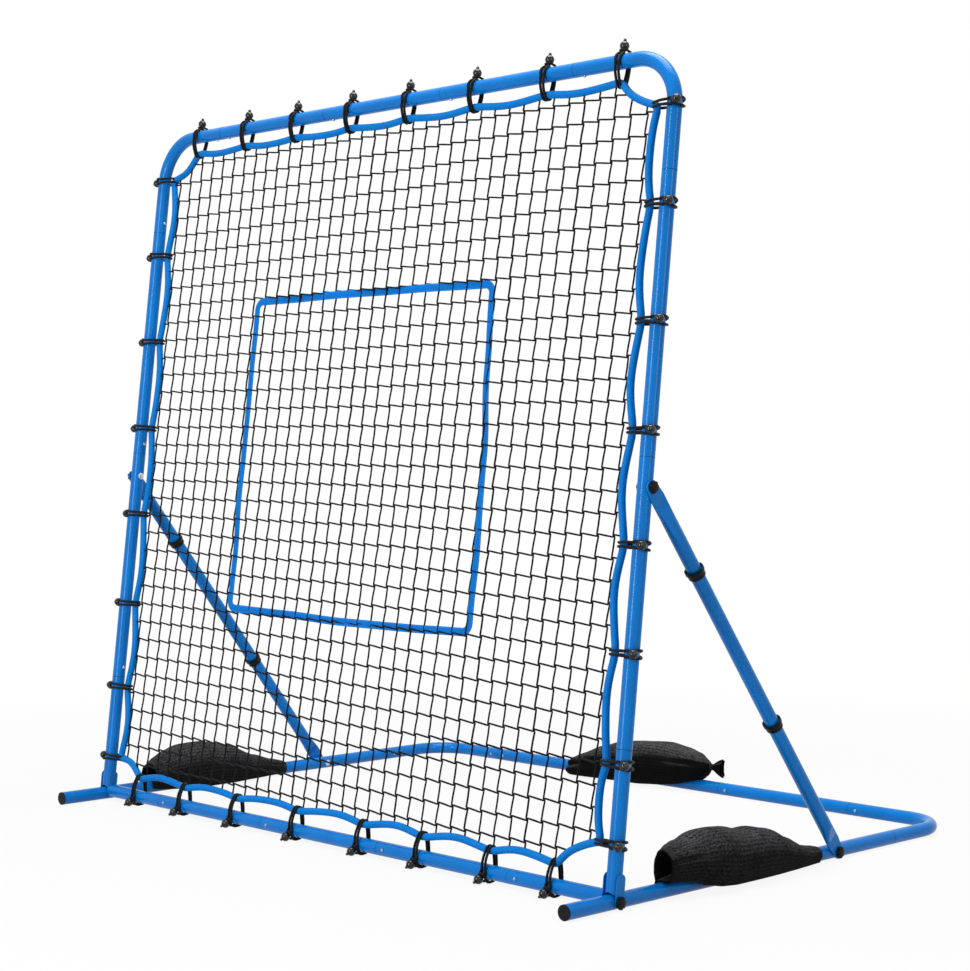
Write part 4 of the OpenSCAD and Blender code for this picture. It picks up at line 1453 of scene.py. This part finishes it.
@dataclass
class Sandbag:
    """Knitted bag of sand laid over a tube, sagging to the ground on both sides."""

    name: str
    node: str
    length: float
    stations: tuple[BagStation, ...]
    place: Matrix
    facing: int = 1
    mouth: float = 0.0
    folds: tuple[Fold, ...] = ()
    pleats: float = 0.4
    arc_points: int = 46
    channel_points: int = 16
    rows: int = 72
    gap: float = 0.0016
    cloth: float = 0.0030
    fold: float = 0.0045
    curl: float = math.radians(149)
    lift: float = 0.0006
    saddle: float = 0.6
    bulge: float = 0.010
    mouth_aside: float = 0.012
    seed: float = 0.0
    finish: RibKnit = RibKnit()

    @property
    def half_girth(self) -> float:
        """Length of the skin from its crown to a foot, where the bag is fullest."""
        return 1.3 * max(s.half_width for s in self.stations)

    def station(self, v: float) -> BagStation:
        """Smooth blend of the two cross-sections on either side of v.

        Args:
            v: Place along the bag, from 0 at its fuller end to 1.

        Returns:
            The cross-section there.
        """
        after = next((k for k, s in enumerate(self.stations) if s.along >= v), -1)
        if after <= 0:
            return self.stations[after]
        a, b = self.stations[after - 1], self.stations[after]
        u = (v - a.along) / (b.along - a.along)
        u = ease(u) * 0.4 + u * 0.6
        pairs = zip(astuple(a)[1:], astuple(b)[1:])
        return BagStation(v, *(x + (y - x) * u for x, y in pairs))

    def outer(self, s: BagStation, t: float) -> Vector:
        """Point of the outer skin.

        Args:
            s: Cross-section.
            t: From -1 at the lower left edge, over the top at 0, to 1 at the lower right.

        Returns:
            Point across and up from the tube's axis.
        """
        turn = t * self.curl
        rise = (s.top - s.foot(t * self.facing)) / (1 - math.cos(self.curl))
        x = s.half_width * math.copysign(abs(math.sin(turn)) ** 0.9, turn)
        return Vector((x + s.shift, s.top - rise * (1 - math.cos(turn))))

    def off_tube(self, flat: Vector, t: float) -> Vector:
        """Moves a point of the skin sideways until it lies outside the tube and its play.

        Args:
            flat: Point across and up from the tube's axis.
            t: Its place round the skin, as for outer.

        Returns:
            The moved point.
        """
        clear = SIZES.tube_radius + self.gap + self.cloth
        if abs(flat.y) >= clear:
            return flat
        least = math.sqrt(clear**2 - flat.y**2) if flat.y > 0 else clear
        if abs(flat.x) < least and abs(t) > 0.1:
            flat.x = math.copysign(least, t)
        return flat

    def inner(self, s: BagStation, t: float) -> Vector:
        """Point of the slot over the tube.

        Args:
            s: Cross-section.
            t: From -1 at its left foot, over the tube at 0, to 1 at its right foot.

        Returns:
            Point across and up from the tube's axis.
        """
        r = SIZES.tube_radius + self.gap
        foot = s.foot(t * self.facing)
        if foot < 0:
            if abs(t) > self.saddle:
                down = foot * (abs(t) - self.saddle) / (1 - self.saddle)
                return Vector((math.copysign(r, t), down))
            turn = t / self.saddle * math.pi / 2
            return Vector((r * math.sin(turn), r * math.cos(turn)))
        end = math.acos(min(0.9, foot / r))
        x = r * math.sin(t * end)
        edge = 0.8 * abs(self.outer(s, math.copysign(1.0, t)).x)
        widest = r * math.sin(end)
        if foot > r and widest > edge:
            x *= edge / widest
        return Vector((x, max(r * math.cos(t * end), foot)))

    def crease(self, v: float, t: float) -> float:
        """Height of the cloth's lumps, pleats and folds at a place on the skin.

        Args:
            v: Place along the bag, from 0 to 1.
            t: Place round it, as for outer.

        Returns:
            The height over the plain skin.
        """

        def wave(across: float, along: float, turn: float) -> float:
            """Noise of so many features round and along the bag."""
            return noise.noise(Vector((t * across, v * along, self.seed + turn)))

        ends = 1.0 - min(v, 1 - v) * 2
        gather = 0.25 + self.pleats * 45 * self.station(v).half_width * ends**3
        long_fold, pucker, lump = wave(2.6, 1.3, 0), wave(11.0, 2.2, 4), wave(1.6, 5.0, 9)
        height = self.fold * (long_fold * 0.9 + pucker * gather + lump * 1.1)
        half_girth = self.half_girth
        spot = Vector((v * self.length, t * half_girth))
        for fold in self.folds:
            a = Vector((fold.start[0] * self.length, fold.start[1] * half_girth))
            b = Vector((fold.end[0] * self.length, fold.end[1] * half_girth))
            share = max(0.0, min(1.0, (spot - a).dot(b - a) / (b - a).length_squared))
            near = (spot - a.lerp(b, share)).length / fold.width
            height -= fold.depth * math.exp(-(near**2))
        return height

    def section(self, v: float) -> list[Vector]:
        """Closed section of the bag: its skin, then its slot over the tube.

        Args:
            v: Place along the bag, from 0 to 1.

        Returns:
            The section's points in order, before the bag is laid in its place.
        """
        s = self.station(v)
        points = []
        for k in range(self.arc_points):
            t = -1 + 2 * k / (self.arc_points - 1)
            flat = self.outer(s, t)
            swell = self.crease(v, t) * min(1.0, 2.6 * (1 - abs(t)))
            reach = Vector((flat.x, max(flat.y, 0.001))).normalized()
            flat = self.off_tube(flat + reach * swell, t)
            flat.y = max(flat.y, -SIZES.tube_radius + self.lift)
            points.append(flat)
        for k in range(self.channel_points):
            flat = self.inner(s, 1 - 2 * (k + 0.5) / self.channel_points)
            flat.y = min(flat.y, s.top - self.cloth)
            points.append(flat)
        return [Vector((p.x, v * self.length, p.y)) for p in points]

    def skin(self) -> bpy.types.Object:
        """Makes the bag's skin by drawing its section along it."""
        mesh, rings = loft([self.section(row / self.rows) for row in range(self.rows + 1)])
        uv = mesh.loops.layers.uv["flat"]
        girth = 2 * self.half_girth
        spots = {
            vert: (k / self.arc_points * girth, row / self.rows * self.length)
            for row, ring in enumerate(rings)
            for k, vert in enumerate(ring)
        }
        self.close(mesh, rings[0], rings[-1])
        mesh.transform(self.place)
        for face in mesh.faces:
            us = [spots.get(x, (0.0, 0.0))[0] for x in (loop.vert for loop in face.loops)]
            wraps = max(us) - min(us) > girth / 2
            for loop in face.loops:
                u, along = spots.get(loop.vert, (0.0, 0.0))
                loop[uv].uv = (u + (girth * 1.4 if wraps and u < girth / 2 else 0.0), along)
        bag = to_object(self.name, mesh)
        rounded(bag)
        return bag

    def close(
        self,
        mesh: bmesh.types.BMesh,
        first: list[bmesh.types.BMVert],
        last: list[bmesh.types.BMVert],
    ) -> None:
        """Closes both ends: an open mouth or a rounded face at the fuller end, one at the other.

        Args:
            mesh: The bag's skin.
            first: Its ring at the fuller end.
            last: Its ring at the thinner end.
        """
        # Per row: the share of the end's size that is left, and the share of its depth.
        closed = ((0.7, -0.7), (0.35, -1.0))
        opening = ((0.97, -0.10), (0.84, -0.12), (0.76, 0.10), (0.70, 0.7), (0.3, 1.0))
        for ring, inward in ((first, 1.0), (last, -1.0)):
            levels, depth, aside = closed, self.bulge, 0.0
            if inward > 0 and self.mouth:
                levels, depth, aside = opening, self.mouth, -self.mouth_aside * self.facing
            outer = ring[: self.arc_points]
            hub = sum((v.co for v in outer), Vector()) / len(outer)
            hub.x += aside
            edges = [mesh.edges.get(pair) for pair in zip(ring, ring[1:] + ring[:1])]
            before = 1.0
            for keep, far in levels:
                ring, edges = next_ring(mesh, ring, edges)
                for vert in ring:
                    vert.co = hub + (vert.co - hub) * keep / before
                    vert.co.y = hub.y + inward * depth * far
                before = keep
            bmesh.ops.edgeloop_fill(mesh, edges=edges)

    def build(self) -> bpy.types.Object:
        """Makes the bag and puts it in place of its plain solid."""
        bag = self.skin()
        dress(bag, self.finish.material())
        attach(bag, self.node)
        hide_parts(self.node)
        return bag


@dataclass
class BagTail:
    """Tied neck and flared tail at the fuller end of the rear bag.

    A row of the profile is a place along the bag, a half width and a half height.
    """

    place: Matrix
    height: float = 0.058
    segments: int = 28
    pleats: int = 7
    pleat_depth: float = 0.16
    notch: float = 0.008
    profile: tuple[tuple[float, float, float], ...] = (
        (0.012, 0.010, 0.010),
        (0.004, 0.0085, 0.0085),
        (-0.004, 0.0062, 0.0068),
        (-0.011, 0.0060, 0.0066),
        (-0.019, 0.0085, 0.013),
        (-0.031, 0.010, 0.021),
        (-0.044, 0.011, 0.0265),
    )
    cloth: float = 0.0016
    binding_radius: float = 0.0013
    binding_wide: float = 0.0078
    binding_tall: float = 0.0084
    binding_from: float = -0.0045
    binding_pitch: float = 0.0022
    binding_turns: int = 3
    binding_steps: int = 12
    # Painted shade: the rear bag's darker copy of the knit.
    finish: RibKnit = SHADED_REAR_KNIT
    cord: BraidedCord = BraidedCord("binding_black", "#0C0C0D", "#1C1D1F", 1.5)

    def spot(self, turn: float, wide: float, along: float, tall: float) -> Vector:
        """Point at an angle on an ellipse round the neck's axis."""
        return Vector((wide * math.cos(turn), along, self.height + tall * math.sin(turn)))

    def section(self, row: int) -> list[Vector]:
        """Closed section of the tail, whose pleats grow over its first rows.

        Args:
            row: Row of the profile.

        Returns:
            The section's points in order, before the tail is laid in its place.
        """
        along, wide, tall = self.profile[row]
        points = []
        for k in range(self.segments):
            turn = 2 * math.pi * k / self.segments
            pleat = 1 + self.pleat_depth * math.cos(self.pleats * turn) * min(1.0, row / 2)
            notch = self.notch * abs(math.sin(turn)) * (row / (len(self.profile) - 1)) ** 3
            points.append(self.spot(turn, wide * pleat, along - notch, tall * pleat))
        return points

    def build(self) -> list[bpy.types.Object]:
        """Makes the gathered neck, its flared tail and the cord round it."""
        mesh, _ = loft([self.section(row) for row in range(len(self.profile))])
        uv = mesh.loops.layers.uv["flat"]
        mesh.transform(self.place)
        for face in mesh.faces:
            for loop in face.loops:
                loop[uv].uv = (loop.vert.co.z * 1.5, loop.vert.co.x)
        tail = to_object("bag_tail", mesh)
        thick = tail.modifiers.new("cloth", "SOLIDIFY")
        thick.thickness = self.cloth
        rounded(tail)
        dress(tail, self.finish.material())
        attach(tail, "sandbag_rear")
        turns = []
        for k in range(self.binding_turns * self.binding_steps + 1):
            turn = 2 * math.pi * k / self.binding_steps
            along = self.binding_from - self.binding_pitch * k / self.binding_steps
            spot = self.spot(turn, self.binding_wide, along, self.binding_tall)
            turns.append(self.place @ spot)
        binding = cord_mesh("bag_binding", [turns], self.binding_radius, 6, closed=False)
        dress(binding, self.cord.material())
        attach(binding, "sandbag_rear")
        return [tail, binding]


# --- Scene ---


@dataclass
class Studio:
    """White sweep, plain lamps and the camera."""

    image_px: int = 971
    focal_px: float = 2026.3
    sensor_mm: float = 36.0
    spot: tuple[float, float, float] = (3.8771, -3.8744, 0.9990)
    turned: tuple[float, float, float] = (88.915, -0.158, 45.525)
    aim: tuple[float, float, float] = (0.0, 0.0, 0.9)
    floor_half: float = 12.0
    floor_drop: float = 0.0004
    white_from: float = 1.4
    white_to: float = 3.2
    sky: float = 0.26

    def camera(self) -> None:
        """Sets the camera at the catalogue view."""
        data = bpy.data.cameras.new("camera")
        data.sensor_width = self.sensor_mm
        data.lens = self.focal_px * self.sensor_mm / self.image_px
        obj = place_object("camera", data)
        obj.location = self.spot
        obj.rotation_euler = Euler([math.radians(a) for a in self.turned])
        bpy.context.scene.camera = obj

    def seen(self, material: bpy.types.Material | bpy.types.World) -> bpy.types.NodeSocket:
        """Tells what the camera sees, also in a mirror or through glass.

        Args:
            material: Material or world that the nodes go into.

        Returns:
            A socket that is 1 for what it sees, else 0.
        """
        ray = add_node(material, "ShaderNodeLightPath")
        mirrored = add_node(
            material,
            "ShaderNodeMath",
            {"operation": "MAXIMUM"},
            {0: ray.outputs["Is Glossy Ray"], 1: ray.outputs["Is Transmission Ray"]},
        )
        seen = add_node(
            material,
            "ShaderNodeMath",
            {"operation": "MAXIMUM"},
            {0: ray.outputs["Is Camera Ray"], 1: mirrored.outputs[0]},
        )
        return seen.outputs[0]

    def floor(self) -> None:
        """Lays a white floor that keeps a faint shadow near the object."""
        mesh = bmesh.new()
        bmesh.ops.create_grid(mesh, x_segments=1, y_segments=1, size=self.floor_half)
        bmesh.ops.translate(mesh, verts=mesh.verts, vec=(0.0, 0.0, -self.floor_drop))
        floor = to_object("floor", mesh)
        material, shader = new_material("studio_white")
        shader.inputs["Base Color"].default_value = linear("#CFCFCF")
        shader.inputs["Roughness"].default_value = 0.9
        shader.inputs["Specular IOR Level"].default_value = 0.0
        glow = add_node(material, "ShaderNodeEmission", inputs={"Color": WHITE, "Strength": 1.0})
        where = add_node(material, "ShaderNodeTexCoord").outputs["Object"]
        far = add_node(material, "ShaderNodeVectorMath", {"operation": "LENGTH"}, {0: where})
        pale = add_node(
            material,
            "ShaderNodeMapRange",
            inputs={0: far.outputs["Value"], 1: self.white_from, 2: self.white_to, 3: 0.9},
        )
        share = add_node(
            material,
            "ShaderNodeMath",
            {"operation": "MULTIPLY"},
            {0: self.seen(material), 1: pale.outputs[0]},
        )
        mix = add_node(material, "ShaderNodeMixShader", inputs={0: share.outputs[0]})
        link(material, shader.outputs[0], mix.inputs[1])
        link(material, glow.outputs[0], mix.inputs[2])
        out = material.node_tree.nodes["Material Output"]
        link(material, mix.outputs[0], out.inputs["Surface"])
        dress(floor, material)

    def world(self) -> None:
        """Lights the set evenly and shows as white behind it."""
        world = bpy.data.worlds.new("studio")
        bpy.context.scene.world = world
        world.use_nodes = True
        sky = world.node_tree.nodes["Background"]
        sky.inputs["Color"].default_value = WHITE
        sky.inputs["Strength"].default_value = self.sky
        white = add_node(world, "ShaderNodeBackground", inputs={"Color": WHITE, "Strength": 1.0})
        mix = add_node(
            world,
            "ShaderNodeMixShader",
            inputs={0: self.seen(world), 1: sky.outputs[0], 2: white.outputs[0]},
        )
        link(world, mix.outputs[0], world.node_tree.nodes["World Output"].inputs["Surface"])

    def lamp(
        self, name: str, spot: tuple[float, float, float], size: tuple[float, float], power: float
    ) -> None:
        """Adds one soft box that faces the middle of the object.

        Args:
            name: The lamp's name.
            spot: Where it stands.
            size: Its width and height.
            power: Its power in watts.
        """
        data = bpy.data.lights.new(name, "AREA")
        data.shape = "RECTANGLE"
        data.size, data.size_y = size
        data.energy = power
        obj = place_object(name, data)
        obj.location = spot
        aim = Vector(self.aim) - Vector(spot)
        obj.rotation_euler = aim.to_track_quat("-Z", "Y").to_euler()

    def build(self) -> None:
        """Sets up the whole studio."""
        bpy.context.scene.view_settings.view_transform = "Standard"
        self.camera()
        self.floor()
        self.world()
        self.lamp("top_box", (0.4, -0.2, 5.0), (3.0, 3.0), 250.0)
        self.lamp("key_strip", (0.2, -5.6, 2.0), (0.35, 3.4), 190.0)
        self.lamp("side_box", (5.4, -0.4, 2.6), (0.8, 3.0), 60.0)


def neck_place() -> Matrix:
    """Place of the rear bag: its neck at the origin and its length along +Y."""
    pivot, high = SIZES.pivot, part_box("sandbag_rear")[1]
    neck = Vector((high.x - 0.050, pivot.y + 1.311, pivot.z))
    return Matrix.Translation(neck) @ Matrix.Rotation(math.radians(90), 4, "Z")


def stations(*rows: tuple[float, ...]) -> tuple[BagStation, ...]:
    """Turns rows of numbers, in the order of BagStation's fields, into cross-sections."""
    return tuple(BagStation(*row) for row in rows)


def bags() -> list[Sandbag]:
    """The three bags, laid where their plain solids lie."""
    right_low, right_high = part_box("sandbag_right")
    left_low, left_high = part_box("sandbag_left")
    right = stations(
        (0.00, 0.030, 0.092, 0.018, 0.000, 0.008),
        (0.04, 0.040, 0.103, 0.018, -0.006, 0.008),
        (0.12, 0.056, 0.113, 0.013, -0.014, 0.004),
        (0.22, 0.068, 0.1185, -0.004, -0.0165),
        (0.30, 0.074, 0.1185, -0.012, -0.0168),
        (0.38, 0.074, 0.116, -0.0155, -0.0168),
        (0.54, 0.070, 0.105, -0.0160, -0.0168),
        (0.66, 0.062, 0.089, -0.0168, -0.0168),
        (0.78, 0.049, 0.062, -0.0168, -0.0160, 0.002),
        (0.90, 0.033, 0.033, -0.0165, 0.002, 0.005),
        (1.00, 0.022, 0.0228, -0.0150, 0.016, 0.005),
    )
    left = stations(
        (0.00, 0.042, 0.068, -0.006, -0.006),
        (0.05, 0.052, 0.086, -0.009, -0.010),
        (0.12, 0.063, 0.100, -0.012, -0.014),
        (0.22, 0.074, 0.111, -0.0160, -0.0165),
        (0.40, 0.079, 0.112, -0.0168, -0.0168),
        (0.56, 0.073, 0.092, -0.0168, -0.0168),
        (0.74, 0.056, 0.057, -0.015, -0.0168),
        (0.90, 0.033, 0.034, -0.014, -0.006, 0.003),
        (1.00, 0.0225, 0.0235, -0.012, 0.010, 0.004),
    )
    rear = stations(
        (0.00, 0.010, 0.068, 0.048, 0.048),
        (0.04, 0.036, 0.080, 0.027, 0.027),
        (0.10, 0.056, 0.094, 0.012, 0.010),
        (0.20, 0.070, 0.106, -0.001, -0.008),
        (0.32, 0.076, 0.112, -0.010, -0.0160),
        (0.50, 0.079, 0.109, -0.0168, -0.0168),
        (0.66, 0.076, 0.097, -0.0168, -0.0168, -0.006),
        (0.80, 0.071, 0.078, -0.0168, -0.0168, -0.016),
        (0.92, 0.062, 0.054, -0.0168, -0.0165, -0.026),
        (1.00, 0.050, 0.036, -0.0168, -0.012, -0.032),
    )
    return [
        Sandbag(
            "sandbag_cloth_right",
            "sandbag_right",
            right_high.y - right_low.y - 0.026,
            right,
            Matrix.Translation((SIZES.half_width, right_low.y, SIZES.pivot.z)),
            mouth=0.060,
            folds=(
                Fold((0.47, 0.08), (0.34, 0.62), 0.026, 0.0090),
                Fold((0.13, -0.1), (0.16, 0.35), 0.018, 0.0050),
            ),
            seed=1.0,
        ),
        Sandbag(
            "sandbag_cloth_left",
            "sandbag_left",
            left_high.y - left_low.y - 0.038,
            left,
            Matrix.Translation((-SIZES.half_width, left_low.y + 0.012, SIZES.pivot.z)),
            mouth=0.050,
            folds=(Fold((0.44, 0.20), (0.38, 0.60), 0.028, 0.0055),),
            seed=17.0,
        ),
        Sandbag(
            "sandbag_cloth_rear",
            "sandbag_rear",
            0.500,
            rear,
            neck_place(),
            facing=-1,
            folds=(Fold((0.78, -0.58), (1.02, -0.46), 0.015, 0.0110),),
            pleats=0.9,
            seed=31.0,
            # Painted shade: the darker copy of the knit.
            finish=SHADED_REAR_KNIT,
        ),
    ]


def main() -> None:
    """Builds every piece in order and reports it."""
    logging.basicConfig(level=logging.INFO, format="%(name)s: %(message)s")
    Studio().build()
    LOG.info("studio ready")
    TubeWork().build()
    Fittings().build()
    LOG.info("tubes and fittings dressed")
    for piece in SeamEdges().build():
        LOG.info("made %s", piece.name)
    border = BorderRope()
    LOG.info("made %s", border.build().name)
    LOG.info("made %s", Netting(border).build().name)
    LOG.info("made %s", StrikeBand().build().name)
    for piece in ElasticTies().build():
        LOG.info("made %s", piece.name)
    for bag in bags():
        LOG.info("made %s", bag.build().name)
    for piece in BagTail(neck_place()).build():
        LOG.info("made %s", piece.name)


if __name__ == "__main__":
    main()
